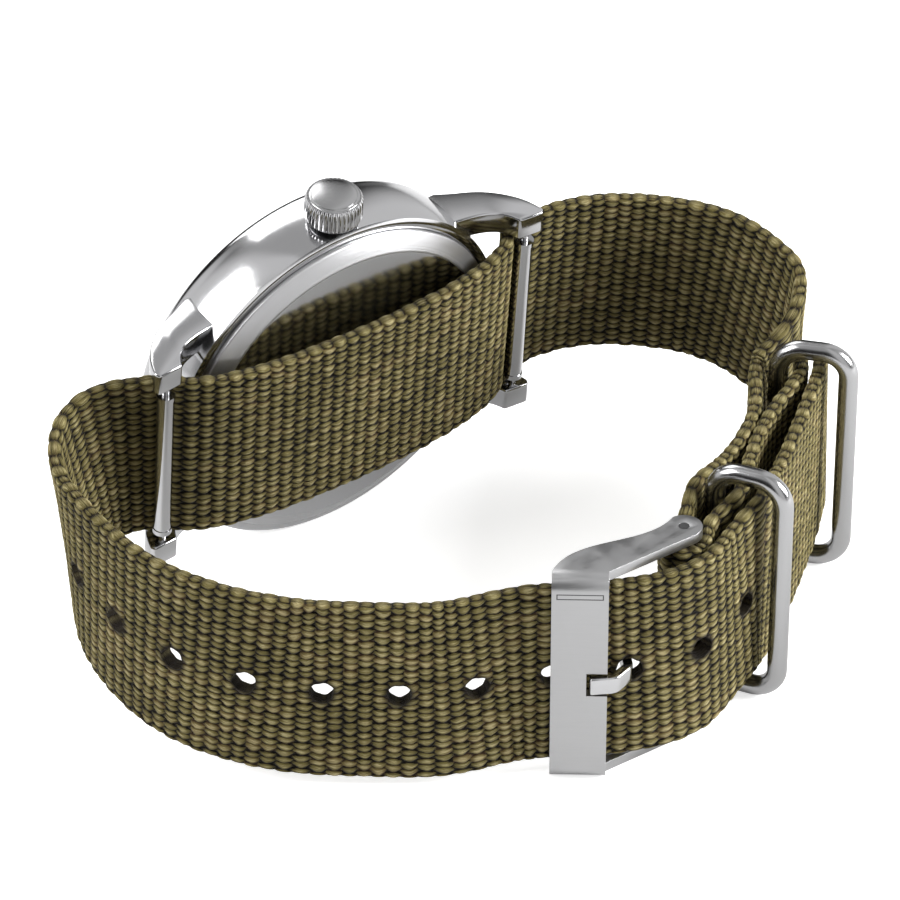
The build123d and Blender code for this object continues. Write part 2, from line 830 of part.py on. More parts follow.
# Tongue: from the pin inside the tail, out through its hole and back into the notch
tongue_route_shares = [(-0.48, 0.06), (-0.62, -0.19), (-0.78, -0.24)]
tongue_bends = [
    floor_pin + Vector(x * plate_reach, y * plate_reach, 0) for x, y in tongue_route_shares
]
tongue_tip = plate_right + plate_dir * (notch_depth - pocket_gap * 2)
tongue_route = [floor_pin] + tongue_bends + [tongue_tip]

# Holes along the tail at an even pitch, one of them on the tongue
tongue_mark = webbing.mark((tongue_bends[0] + tongue_bends[1]) / 2 + up * pin_centre.Z)
tongue_mid = webbing.plane(tongue_mark).origin.Z
hole_planes = []
for count in range(-holes_to_tip, holes_to_case + 1):
    section = webbing.plane(tongue_mark + count * hole_pitch)
    hole_planes.append(Plane(origin=section.origin, z_dir=section.y_dir))

with BuildPart() as strap:
    for section in webbing.planes(strap_step):
        with BuildSketch(section):
            Rectangle(strap_width, strap_thickness)
    loft(ruled=True)
    # The turn round the pin is slotted for the tongue
    slot_reach = round_pin + strap_thickness / 2 + running_gap
    slot_base = Vector(pin_centre.X, pin_centre.Y, tongue_mid - slot_height / 2)
    with BuildSketch(Plane(origin=slot_base, x_dir=pin_out, z_dir=up)):
        Circle(slot_reach)
        with Locations((0, slot_run / 2)):
            Rectangle(slot_reach * 2, slot_run)
    extrude(amount=slot_height, mode=Mode.SUBTRACT)
    with Locations(*hole_planes):
        Cylinder(hole_radius, strap_thickness * 2, mode=Mode.SUBTRACT)
finish(strap, "strap")

# Keepers: rounded oblong rings of round wire, held by one bar in the seam
for name, stop in (("keeper_front", front_keeper_index), ("keeper_rear", rear_keeper_index)):
    ring_plane = Plane(
        origin=Vector(seam[stop].X, seam[stop].Y, (keeper_wire + keeper_height) / 2)
        + normals[stop] * (keeper_depth / 2),
        x_dir=normals[stop],
        z_dir=normals[stop].cross(up),
    )
    with BuildPart() as keeper:
        with BuildLine(ring_plane) as ring:
            FilletPolyline(
                (-keeper_depth / 2, keeper_height / 2),
                (keeper_depth / 2, keeper_height / 2),
                (keeper_depth / 2, -keeper_height / 2),
                (-keeper_depth / 2, -keeper_height / 2),
                radius=keeper_corner,
                close=True,
            )
        with BuildSketch(Plane(origin=ring.line @ 0, z_dir=ring.line % 0)):
            Circle(keeper_wire / 2)
        sweep()
    finish(keeper, name)

# Buckle frame: a plate bent at top and bottom into tapering arms that hold the pin
bend_plane = Plane(origin=plate_left, x_dir=plate_in, z_dir=-plate_dir)
arm_root_left = plate_left + plate_in * buckle_bend - floor_pin
arm_root_right = plate_right + plate_in * buckle_bend - floor_pin
arm_waist_shares = [(-0.62, 0.17), (-0.33, 0.10)]
arm_waist_points = [(x * plate_reach, y * plate_reach) for x, y in arm_waist_shares]

with BuildPart() as buckle_frame:
    with BuildSketch(bend_plane):
        with Locations((buckle_bend, buckle_height / 2)):
            RectangleRounded(buckle_bend * 2, buckle_height, buckle_bend - seat_gap)
        with Locations((buckle_bend + buckle_sheet, buckle_height / 2)):
            RectangleRounded(
                buckle_bend * 2, buckle_height - buckle_sheet * 2, buckle_bend - buckle_sheet,
                mode=Mode.SUBTRACT,
            )
        with Locations((buckle_bend * 2, buckle_height / 2)):
            Rectangle(buckle_bend * 2, buckle_height + overrun, mode=Mode.SUBTRACT)
    extrude(amount=plate_width)
    for level in (0, buckle_height - buckle_sheet):
        with BuildSketch(Plane(origin=floor_pin + up * level, z_dir=up)):
            with BuildLine():
                root_left = (arm_root_left.X, arm_root_left.Y)
                root_right = (arm_root_right.X, arm_root_right.Y)
                Line(root_left, root_right)
                Line(root_right, (0, -arm_end_radius))
                CenterArc((0, 0), arm_end_radius, -90, 180)
                Spline((0, arm_end_radius), *arm_waist_points[::-1], root_left)
            make_face()
            Circle(rivet_radius + seat_gap, mode=Mode.SUBTRACT)
        extrude(amount=buckle_sheet)
    # The notch that takes the tongue's tip, cut in the plate's free edge
    with BuildSketch(bend_plane.offset(plate_width - notch_depth)):
        with Locations((0, tongue_mid)):
            Rectangle(buckle_sheet * 3, notch_height)
    extrude(amount=notch_depth + overrun, mode=Mode.SUBTRACT)
finish(buckle_frame, "buckle_frame")

with BuildPart() as buckle_pin:
    with BuildSketch(Plane(origin=floor_pin, z_dir=up)):
        Circle(rivet_radius)
    extrude(amount=buckle_height)
    with BuildSketch(Plane(origin=floor_pin + up * (buckle_sheet + seat_gap), z_dir=up)):
        Circle(pin_radius)
    extrude(amount=buckle_height - (buckle_sheet + seat_gap) * 2)
finish(buckle_pin, "buckle_pin")

with BuildPart() as buckle_tongue:
    with BuildSketch(Plane(origin=up * (tongue_mid - tongue_width / 2), z_dir=up)):
        with BuildLine():
            FilletPolyline(*tongue_route, radius=tongue_bend)
        trace(line_width=tongue_thickness)
        with Locations(floor_pin):
            Circle(pin_radius + running_gap + tongue_thickness)
            Circle(pin_radius + running_gap, mode=Mode.SUBTRACT)
    extrude(amount=tongue_width)
finish(buckle_tongue, "buckle_tongue")
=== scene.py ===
import math
import bpy
import bmesh
import numpy as np
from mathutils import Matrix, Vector


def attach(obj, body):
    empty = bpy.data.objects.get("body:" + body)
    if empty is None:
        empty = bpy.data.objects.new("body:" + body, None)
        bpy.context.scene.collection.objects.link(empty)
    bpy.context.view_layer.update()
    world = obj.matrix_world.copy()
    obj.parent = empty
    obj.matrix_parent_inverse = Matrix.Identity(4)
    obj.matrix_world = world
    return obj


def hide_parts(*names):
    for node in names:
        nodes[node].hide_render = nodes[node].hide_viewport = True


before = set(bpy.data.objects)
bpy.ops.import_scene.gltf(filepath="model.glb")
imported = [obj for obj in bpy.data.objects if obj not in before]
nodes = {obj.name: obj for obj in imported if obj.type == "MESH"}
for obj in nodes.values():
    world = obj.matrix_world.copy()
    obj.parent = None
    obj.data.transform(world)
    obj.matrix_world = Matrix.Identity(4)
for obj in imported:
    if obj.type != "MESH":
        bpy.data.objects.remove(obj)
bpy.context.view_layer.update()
scene = bpy.context.scene
mm = 0.001

# Where the head lies. Lengths here are in millimetres and are scaled as meshes are made
head = {
    "centre": (-3.505, 21.595, 18.68),
    "lean": 9.25,
    "roll": -2.7,
}


def headAxes():
    lean, roll = math.radians(head["lean"]), math.radians(head["roll"])
    turnX = np.array([
        [1, 0, 0],
        [0, math.cos(lean), -math.sin(lean)],
        [0, math.sin(lean), math.cos(lean)],
    ])
    turnY = np.array([
        [math.cos(roll), 0, math.sin(roll)],
        [0, 1, 0],
        [-math.sin(roll), 0, math.cos(roll)],
    ])
    return (turnX @ turnY).T


toTwelve, toFront, toCrown = headAxes()   # twelve o'clock, out of the dial, three o'clock
centre = np.array(head["centre"])
up = np.array((0.0, 0.0, 1.0))


norm = np.linalg.norm


def unit(vector):
    return vector / norm(vector)


def unitRows(vectors, least=0.0):
    return vectors / np.maximum(norm(vectors, axis=1), least)[:, None]


def onHead(points):
    # across, out of the dial, towards the crown
    points = np.asarray(points, float)
    return centre + points[:, :1] * toTwelve + points[:, 1:2] * toFront + points[:, 2:] * toCrown


def srgb(red, green, blue):
    shares = [value / 255 for value in (red, green, blue)]
    return [s / 12.92 if s <= 0.04045 else ((s + 0.055) / 1.055) ** 2.4 for s in shares] + [1.0]


# node helpers, the same for shader and geometry trees


class Net:
    def __init__(self, tree):
        self.tree = tree

    def fill(self, node, **values):
        # inputs by their titles, with an underscore for each space
        for key, value in values.items():
            self.put(node.inputs[key.replace("_", " ")], value)
        return node

    def add(self, kind, **settings):
        node = self.tree.nodes.new(kind)
        for key, value in settings.items():
            setattr(node, key, value)
        return node

    def put(self, socket, value):
        if isinstance(value, bpy.types.NodeSocket):
            self.tree.links.new(value, socket)
        else:
            socket.default_value = value

    def math(self, operation, *values):
        node = self.add("ShaderNodeMath", operation=operation)
        for socket, value in zip(node.inputs, values):
            self.put(socket, value)
        return node.outputs[0]

    def plus(self, first, second):
        return self.math("ADD", first, second)

    def less(self, first, second):
        return self.math("SUBTRACT", first, second)

    def times(self, first, second):
        return self.math("MULTIPLY", first, second)

    def square(self, value):
        return self.times(value, value)

    def remap(self, value, low, high, newLow=0.0, newHigh=1.0):
        node = self.add("ShaderNodeMapRange", interpolation_type="SMOOTHSTEP")
        return self.fill(node, Value=value, From_Min=low, From_Max=high, To_Min=newLow,
                         To_Max=newHigh).outputs[0]

    def combine(self, x, y, z):
        return self.fill(self.add("ShaderNodeCombineXYZ"), X=x, Y=y, Z=z).outputs[0]

    def noise(self, vector, scale, detail=2.0, rough=0.5):
        return self.fill(self.add("ShaderNodeTexNoise"), Vector=vector, Scale=scale,
                         Detail=detail, Roughness=rough).outputs[0]

    def stretched(self, scale, turn=(0.0, 0.0, 0.0)):
        # the object's own axes, drawn out
        place = self.add("ShaderNodeTexCoord").outputs["Object"]
        return self.fill(self.add("ShaderNodeMapping"), Vector=place, Scale=scale,
                         Rotation=turn).outputs[0]

    def bump(self, shader, height, strength, distance):
        node = self.fill(self.add("ShaderNodeBump"), Strength=strength, Distance=distance,
                         Height=height)
        self.put(shader.inputs["Normal"], node.outputs[0])

    def mix(self, share, first, second):
        node = self.add("ShaderNodeMix", data_type="RGBA")
        self.put(node.inputs[0], share)
        self.put(node.inputs[6], first)
        self.put(node.inputs[7], second)
        return node.outputs[2]


def newGroup(name, inputs, outputs, kind="ShaderNodeTree"):
    tree = bpy.data.node_groups.new(name, kind)
    for title, made, value in inputs:
        socket = tree.interface.new_socket(title, in_out="INPUT", socket_type=made)
        if value is not None:
            socket.default_value = value
    for title, made in outputs:
        tree.interface.new_socket(title, in_out="OUTPUT", socket_type=made)
    net = Net(tree)
    return net, net.add("NodeGroupInput").outputs, net.add("NodeGroupOutput")


def newMaterial(name):
    material = bpy.data.materials.new(name)
    material.use_nodes = True
    net = Net(material.node_tree)
    shader = material.node_tree.nodes["Principled BSDF"]
    return material, net, shader


def newGeometryTree(name, inputs):
    # a tree that takes a mesh, numbers and a material
    mesh = ("Geometry", "NodeSocketGeometry")
    inputs = [(*mesh, None)] + inputs + [("Finish", "NodeSocketMaterial", None)]
    return newGroup(name, inputs, [mesh], "GeometryNodeTree")


def finishTree(net, given, target, geometry):
    realize = net.fill(net.add("GeometryNodeRealizeInstances"), Geometry=geometry)
    paint = net.fill(net.add("GeometryNodeSetMaterial"), Geometry=realize.outputs[0],
                     Material=given["Finish"])
    net.put(target.inputs[0], paint.outputs[0])
    return net.tree


def useGroup(net, tree, **values):
    return net.fill(net.add("ShaderNodeGroup", node_tree=tree), **values).outputs


def finishWith(piece, material):
    piece.data.materials.clear()
    piece.data.materials.append(material)


# shared surface effects

floatSocket, colorSocket, vectorSocket = "NodeSocketFloat", "NodeSocketColor", "NodeSocketVector"


def brushedGroup():
    # fine straight or turned brushing: lines across the stretch direction
    net, given, target = newGroup(
        "brushedGrain",
        [("Vector", vectorSocket, None), ("Fineness", floatSocket, 900.0),
         ("Depth", floatSocket, 0.2)],
        [("Height", floatSocket), ("Rough", floatSocket)],
    )
    lines = net.noise(given["Vector"], given["Fineness"], 3.0, 0.6)
    net.fill(target, Height=net.times(lines, given["Depth"]),
             Rough=net.remap(lines, 0.3, 0.7, -0.06, 0.08))
    return net.tree


def wearGroup():
    # faint handling marks and smudges on polished metal
    net, given, target = newGroup(
        "handling",
        [("Rough", floatSocket, 0.1), ("Smudge", floatSocket, 0.05),
         ("Scratch", floatSocket, 0.03)],
        [("Rough", floatSocket), ("Height", floatSocket)],
    )
    place = net.add("ShaderNodeTexCoord").outputs["Object"]
    cloud = net.noise(place, 220.0, 3.0, 0.6)
    smudge = net.times(net.remap(cloud, 0.35, 0.75), given["Smudge"])
    slanted = net.stretched((900.0, 3500.0, 500.0), (0.4, 0.7, 0.3))
    scratch = net.remap(net.noise(slanted, 1.0, 4.0, 0.7), 0.62, 0.70)
    scratch = net.times(scratch, given["Scratch"])
    net.fill(target, Rough=net.plus(given["Rough"], net.plus(smudge, scratch)), Height=scratch)
    return net.tree


brushedGrain = brushedGroup()
handling = wearGroup()

steel = {
    "tint": (0.54, 0.54, 0.55, 1.0),
    "satinTint": (0.44, 0.44, 0.445, 1.0),
    "polished": 0.11,
    "satin": 0.34,
    "bumpDistance": 0.00005,
}


def metalMaterial(name, tint, rough, stretch=None, depth=0.25, smudge=0.05):
    # stretch: how far the brushing is drawn out along each object axis, or "turned"
    material, net, shader = newMaterial(name)
    marks = useGroup(net, handling, Rough=rough, Smudge=smudge, Scratch=smudge)
    height, roughness = marks["Height"], marks["Rough"]
    if stretch:
        if stretch == "turned":
            lines = net.add("ShaderNodeAttribute", attribute_name="turned").outputs["Vector"]
        else:
            lines = net.stretched(stretch)
        grain = useGroup(net, brushedGrain, Vector=lines, Fineness=1.0, Depth=depth)
        height = net.plus(height, grain["Height"])
        roughness = net.plus(roughness, grain["Rough"])
    net.bump(shader, height, 0.25, steel["bumpDistance"])
    net.fill(shader, Base_Color=tint, Metallic=1.0, Roughness=roughness)
    return material


polishedSteel = metalMaterial("polishedSteel", steel["tint"], steel["polished"])
turnedSteel = metalMaterial("turnedSteel", steel["tint"], steel["satin"], "turned", 1.0)
wireSteel = metalMaterial("wireSteel", steel["satinTint"], 0.21, smudge=0.02)
satinSteel = metalMaterial("satinSteel", steel["satinTint"], steel["satin"],
                           (400.0, 400.0, 9000.0), smudge=0.015)


# mesh helpers


def placed(name, data):
    item = bpy.data.objects.new(name, data)
    scene.collection.objects.link(item)
    return item


def newPiece(name, verts, faces):
    mesh = bpy.data.meshes.new(name)
    mesh.from_pydata([tuple(v) for v in np.asarray(verts, float) * mm], [], faces)
    mesh.validate()
    return placed(name, mesh)


def smooth(piece, angle=35.0):
    piece.data.shade_smooth()
    piece.data.set_sharp_from_angle(angle=math.radians(angle))


def meshOf(item):
    shown = item.evaluated_get(bpy.context.evaluated_depsgraph_get())
    return bpy.data.meshes.new_from_object(shown)


def baked(piece):
    # the piece's modifiers become its own mesh
    made = meshOf(piece)
    piece.modifiers.clear()
    piece.data = made
    made.name = piece.name


def breakEdges(piece, width, angle):
    trim = piece.modifiers.new("edges", "BEVEL")
    trim.width, trim.segments = width * mm, 3
    trim.limit_method, trim.angle_limit = "ANGLE", math.radians(angle)
    baked(piece)


def pointOut(piece, change=None):
    # turns the faces outward, after another change of the mesh if one is given
    work = bmesh.new()
    work.from_mesh(piece.data)
    if change:
        change(work)
    bmesh.ops.recalc_face_normals(work, faces=work.faces)
    work.to_mesh(piece.data)
    work.free()


def quarterCurve(start, corner, end, t):
    return start * (1 - t) ** 2 + corner * 2 * t * (1 - t) + end * t ** 2


def softened(points, radius, steps=3, closed=True):
    # each corner of a flat outline rounded by a short arc
    points = [np.asarray(p, float) for p in points]
    result = []
    count = len(points)
    for index, corner in enumerate(points):
        if not closed and index in (0, count - 1):
            result.append(corner)
            continue
        before, after = points[index - 1], points[(index + 1) % count]
        back, ahead = before - corner, after - corner
        reach = min(radius, norm(back) * 0.45, norm(ahead) * 0.45)
        start = corner + back / norm(back) * reach
        end = corner + ahead / norm(ahead) * reach
        result += [quarterCurve(start, corner, end, step / steps) for step in range(steps + 1)]
    return result


def roundTurns(segments):
    return [2 * math.pi * step / segments for step in range(segments)]


def moveEach(piece, place):
    # every vertex from flat work to its place on the watch
    for vertex in piece.data.vertices:
        vertex.co = Vector(place(*(vertex.co / mm)) * mm)
    pointOut(piece)


def latheVerts(profile, segments, frameOf):
    return [frameOf(radius * math.cos(turn), radius * math.sin(turn), level)
            for radius, level in profile for turn in roundTurns(segments)]


def latheFaces(rows, segments, closedProfile=False):
    # quads between rows of equal length, and two end faces if the rows don't close
    faces = []
    last = rows if closedProfile else rows - 1
    for row in range(last):
        below, above = row * segments, ((row + 1) % rows) * segments
        for step in range(segments):
            ahead = (step + 1) % segments
            faces.append((below + step, below + ahead, above + ahead, above + step))
    if not closedProfile:
        faces.append(tuple(range(segments))[::-1])
        faces.append(tuple(range((rows - 1) * segments, rows * segments)))
    return faces


def onDial(x, z, level):
    return centre + x * toTwelve + z * toCrown + level * toFront


def store(piece, title, values):
    # one number or one vector for each vertex
    values = np.asarray(values, np.float32)
    kind, key = ("FLOAT_VECTOR", "vector") if values.ndim == 2 else ("FLOAT", "value")
    kept = piece.data.attributes.new(title, kind, "POINT")
    kept.data.foreach_set(key, np.ascontiguousarray(values).ravel())


def lathe(name, profile, segments=256, place=onDial, closedProfile=True, turned=False):
    piece = newPiece(name, latheVerts(profile, segments, place),
                     latheFaces(len(profile), segments, closedProfile))
    if turned:
        # brushing that runs round: x is the radius, y the level, z follows the turn
        fine, drawnOut = 14, 0.35
        store(piece, "turned", [(radius * fine, level * fine, drawnOut * abs(turn - math.pi))
                                for radius, level in profile for turn in roundTurns(segments)])
    pointOut(piece)
    smooth(piece)
    return piece


def tube(name, path, radius, sides, normal):
    # a closed wire that lies flat against its normal
    path = np.asarray(path, float)
    verts = []
    for index, place in enumerate(path):
        ahead = unit(path[(index + 1) % len(path)] - path[index - 1])
        outward = unit(np.cross(ahead, normal))
        verts += [place + radius * (outward * math.cos(turn) + normal * math.sin(turn))
                  for turn in roundTurns(sides)]
    piece = newPiece(name, verts, latheFaces(len(path), sides, True))
    pointOut(piece)
    smooth(piece, 60)
    return piece


def mergeFlat(work):
    # joins the triangles of each flat face
    sameSpot = 0.000002
    bmesh.ops.remove_doubles(work, verts=work.verts, dist=sameSpot)
    bmesh.ops.dissolve_limit(work, angle_limit=math.radians(1.0), verts=work.verts,
                             edges=work.edges)


def carried(name, node, bevel):
    # a merged copy of a CAD node with its edges broken
    piece = nodes[node].copy()
    piece.data = nodes[node].data.copy()
    piece.name = name
    piece.data.name = name
    piece.parent = None
    for key in list(piece.keys()):
        del piece[key]
    scene.collection.objects.link(piece)
    pointOut(piece, mergeFlat)
    breakEdges(piece, bevel, 30)
    smooth(piece, 40)
    return piece


# the webbing's route, the same stops as the solid strap

strap = {
    "width": 19.6,
    "thickness": 1.4,
    "loopReach": 40.0,
    "loopDepth": 50.0,
    "barReach": 20.4,
    "barPass": 4.1 - 0.92 - 0.7 - 0.08,
    "runDepth": 6.95,
    "keeperDepth": 6.7,
    "sewn": 0.75,
    "pinTurn": 0.8 + 0.7 + 0.15,
    "wireTurn": 0.95 + 0.7 + 0.42,
    "turnSteps": 8,
    "columnPitch": 1.36,
    "yarnPitch": 0.74,
    "relief": 0.30,
    "unevenness": 0.08,
    "edgeRadius": 0.5,
}

caseRun = [
    (1.0, 0.0), (0.952, 0.06), (0.911, 0.31), (0.848, 0.50),
    (0.765, 0.66), (0.61, 0.83), (0.45, 0.94), (0.27, 1.0),
]
sixSide = [
    (-0.060, -0.933, -0.004, 1.0, 0.0), (-0.197, -0.876, -0.012, 1.0, 0.0),
    (-0.353, -0.8275, -0.043, 1.0, 0.0), (-0.495, -0.755, -0.055, 1.0, 0.0),
    (-0.6275, -0.674, -0.065, 1.0, 0.0), (-0.715, -0.606, -0.060, 1.0, 0.0),
    (-0.785, -0.524, -0.065, 1.0, 0.0), (-0.830, -0.430, -0.075, 1.0, 0.01),
    (-0.845, -0.330, -0.090, 0.9, 0.02), (-0.840, -0.230, -0.095, 0.8, 0.05),
    (-0.815, -0.148, -0.090, 0.7, 0.10), (-0.770, -0.082, -0.065, 0.6, 0.13),
    (-0.705, -0.036, -0.037, 0.5, 0.14), (-0.630, -0.021, -0.014, 0.4, 0.12),
    (-0.565, -0.032, -0.004, 0.2, 0.05),
]
twelveSide = [
    (0.5875, -0.043, 0.0, 0.0, 0.0), (0.675, -0.052, 0.0, 0.0, 0.0),
    (0.775, -0.084, 0.0, 0.0, 0.0), (0.8625, -0.134, 0.0, 0.0, 0.0),
    (0.9325, -0.190, 0.0, 0.0, 0.0), (0.986, -0.255, -0.010, 0.1, 0.0),
    (1.014, -0.333, -0.025, 0.2, 0.0), (1.018, -0.400, -0.040, 0.4, 0.0),
    (0.988, -0.460, -0.055, 0.6, 0.0), (0.930, -0.511, -0.075, 0.8, 0.0),
]
seamStops = [
    (0.208, -0.925, -0.382, 0.465), (0.2905, -0.889, -0.354, 0.54),
    (0.368, -0.852, -0.328, 0.62), (0.4605, -0.808, -0.340, 0.60),
    (0.553, -0.759, -0.336, 0.575), (0.6405, -0.708, -0.332, 0.552),
    (0.718, -0.658, -0.328, 0.552), (0.7925, -0.606, -0.324, 0.563),
    (0.8525, -0.562, -0.300, 0.563),
]


def headStop(across, depth, level, upright, flare):
    place = (centre + toTwelve * across * strap["loopReach"]
             + toFront * depth * strap["loopDepth"] + toCrown * level * strap["width"])
    ruling = toCrown * (1 - upright) + up * upright - toTwelve * flare
    return place, unit(ruling)


def caseStop(side, share):
    depth = strap["barPass"] + share[1] * (strap["runDepth"] - strap["barPass"])
    return centre + toTwelve * side * share[0] * strap["barReach"] - toFront * depth, toCrown


def strapRoute():
    parted = (strap["wireTurn"] + strap["sewn"]) / 2
    spread = [strap["pinTurn"], parted, strap["wireTurn"], parted, strap["sewn"],
              strap["sewn"], parted, strap["wireTurn"], parted]
    seam = [centre + np.array((x * strap["loopReach"], y * strap["loopDepth"],
                               z * head["centre"][2])) for x, y, z, _ in seamStops]
    six = [headStop(*stop) for stop in sixSide]
    line = [six[0][0]] + seam + [seam[-1] * 2 - seam[-2]]
    normals = []
    for before, after in zip(line, line[2:]):
        along = after - before
        normals.append(unit(np.array((along[1], -along[0], 0))))
    wrist = [(p - n * s, up) for p, n, s in zip(seam, normals, spread)]
    fold = [(p + n * s, up) for p, n, s in zip(seam, normals, spread)]
    tail = [(p + n * stop[3] * strap["keeperDepth"], up)
            for p, n, stop in zip(seam, normals, seamStops)]
    case = [caseStop(-1, share) for share in caseRun]
    case += [caseStop(1, share) for share in reversed(caseRun)]
    pinAlong = np.cross(up, normals[0])
    turn = []
    for step in range(1, strap["turnSteps"]):
        angle = math.pi * step / strap["turnSteps"]
        offset = -normals[0] * math.cos(angle) - pinAlong * math.sin(angle)
        turn.append((seam[0] + offset * strap["pinTurn"], up))
    route = tail[::-1] + six + case + [headStop(*stop) for stop in twelveSide]
    marks = {
        "sixBar": len(tail) + len(six),
        "twelveBar": len(tail) + len(six) + len(case) - 1,
        "turn": len(route) + len(wrist),
    }
    route += wrist[::-1] + turn + fold
    return route, marks, seam, normals


def splineThrough(points):
    # natural cubic spline, its parameter the chord length
    points = np.asarray(points, float)
    steps = norm(np.diff(points, axis=0), axis=1)
    knots = np.concatenate([[0], np.cumsum(steps)])
    count = len(points)
    system = np.zeros((count, count))
    right = np.zeros((count, 3))
    system[0, 0] = system[-1, -1] = 1
    for i in range(1, count - 1):
        system[i, i - 1:i + 2] = steps[i - 1], 2 * (steps[i - 1] + steps[i]), steps[i]
        right[i] = 6 * ((points[i + 1] - points[i]) / steps[i]
                        - (points[i] - points[i - 1]) / steps[i - 1])
    second = np.linalg.solve(system, right)

    def at(t):
        t = np.clip(np.asarray(t, float), knots[0], knots[-1])
        i = np.clip(np.searchsorted(knots, t, side="right") - 1, 0, count - 2)
        h = steps[i][:, None]
        a = (knots[i + 1] - t)[:, None]
        b = (t - knots[i])[:, None]
        m0, m1 = second[i], second[i + 1]
        return (m0 * a ** 3 / (6 * h) + m1 * b ** 3 / (6 * h)
                + (points[i] / h - m0 * h / 6) * a + (points[i + 1] / h - m1 * h / 6) * b)

    return knots, at


route, routeMarks, seam, seamNormals = strapRoute()
knots, splineAt = splineThrough([place for place, _ in route])
fineT = np.linspace(0, knots[-1], 12001)
fineP = splineAt(fineT)
fineS = np.concatenate([[0], np.cumsum(norm(np.diff(fineP, axis=0), axis=1))])
strapLength = fineS[-1]
markS = np.interp(knots, fineT, fineS)
rulings = np.array([ruling for _, ruling in route])


def ribbonAt(distances):
    # centre, across, through and along at each distance along the webbing
    places = splineAt(np.interp(distances, fineS, fineT))
    gap = 0.02
    ahead = splineAt(np.interp(distances + gap, fineS, fineT))
    behind = splineAt(np.interp(distances - gap, fineS, fineT))
    along = unitRows(ahead - behind)
    ruling = np.stack([np.interp(distances, markS, rulings[:, k]) for k in range(3)], axis=1)
    across = unitRows(ruling - along * (ruling * along).sum(1)[:, None])
    through = np.cross(along, across)
    return places, across, through, along


print("strap length", round(float(strapLength), 2))

# the weave: ribs of warp yarn in bands along the strap, crossed by columns


weave = {
    "length": 0.77, "endFall": 2.4, "taper": 1.4, "flankFall": 3.2, "flankDepth": 0.42,
    "gapWidth": 0.24, "gapDepth": 0.12, "gapGrowth": 3.2,
    "swayScale": 0.5, "sway": 0.9, "sag": 0.9, "laneStart": 60.0, "blend": 0.10,
    "columnScatter": 3.7, "floatScale": 1.3,
}


def weaveFloat(net, lane, shift, away):
    # how far one float stands up: a lens with thin ends, and a deeper gap after every second
    yarns = net.plus(lane, net.times(shift, 0.5))
    fromCore = net.math("ABSOLUTE", net.less(net.math("FRACT", yarns), 0.5))
    halves = net.math("FRACT", net.math("DIVIDE", yarns, 2.0))
    fromGap = net.less(0.5, net.math("ABSOLUTE", net.less(halves, 0.5)))
    lens = net.math("POWER", net.math("DIVIDE", away, weave["length"]), weave["endFall"])
    endward = net.plus(2.0, net.times(net.square(away), weave["taper"]))
    side = net.math("POWER", net.times(fromCore, endward), weave["flankFall"])
    deeper = net.plus(weave["gapDepth"], net.times(net.square(away), weave["gapGrowth"]))
    gap = net.times(net.remap(fromGap, 0.0, weave["gapWidth"], 1.0, 0.0), deeper)
    height = net.less(net.less(1.0, lens), net.times(side, weave["flankDepth"]))
    return net.less(height, gap), yarns


def weavePattern(net, place, pitch, yarn):
    # works in a shader and in a geometry tree. Floats stand in columns across the webbing,
    # neighbouring columns half a yarn apart, so that their ends mesh like fingers
    along, across, side = net.fill(net.add("ShaderNodeSeparateXYZ"), Vector=place).outputs
    sway = net.times(net.less(net.noise(place, weave["swayScale"], 2.0), 0.5), weave["sway"])
    columns = net.math("DIVIDE", along, pitch)
    column = net.math("FLOOR", columns)
    away = net.math("ABSOLUTE", net.less(net.less(columns, column), 0.5))
    parity = net.math("MODULO", column, 2.0)
    lane = net.plus(net.math("DIVIDE", across, yarn), weave["laneStart"])
    lane = net.less(net.plus(lane, sway), net.times(net.square(away), weave["sag"]))
    own, yarns = weaveFloat(net, lane, parity, away)
    other, _ = weaveFloat(net, lane, net.less(1.0, parity), net.less(1.0, away))
    height = net.math("SMOOTH_MAX", own, other, weave["blend"])
    return {"along": along, "side": side, "column": column, "yarns": yarns,
            "height": net.math("MAXIMUM", height, 0.0)}


def floatNoise(net, made, seed):
    # one value for each float
    yarn = net.plus(net.math("FLOOR", made["yarns"]), seed)
    scattered = net.times(made["column"], weave["columnScatter"])
    return net.noise(net.combine(scattered, yarn, made["side"]), weave["floatScale"], 0.0)


dyeAndShade = {
    "fibreLength": 0.8, "fibreFineness": 6.0, "fibreScale": 1.5, "fibreRelief": 0.35,
    "fibre": 0.8, "float": 0.28, "patch": 0.3, "patchScale": 0.12,
    # from where to where each colour comes in; body and crown bring in a painted shade in the low
    # grooves and a painted highlight on the high crowns of the floats
    "body": (0.47, 0.92), "crown": (0.86, 1.25), "rustyFloats": (0.50, 0.66),
    "rustyPatches": (0.42, 0.60, 0.04, 0.22), "rough": (0.2, 0.8, 0.60, 0.82),
}


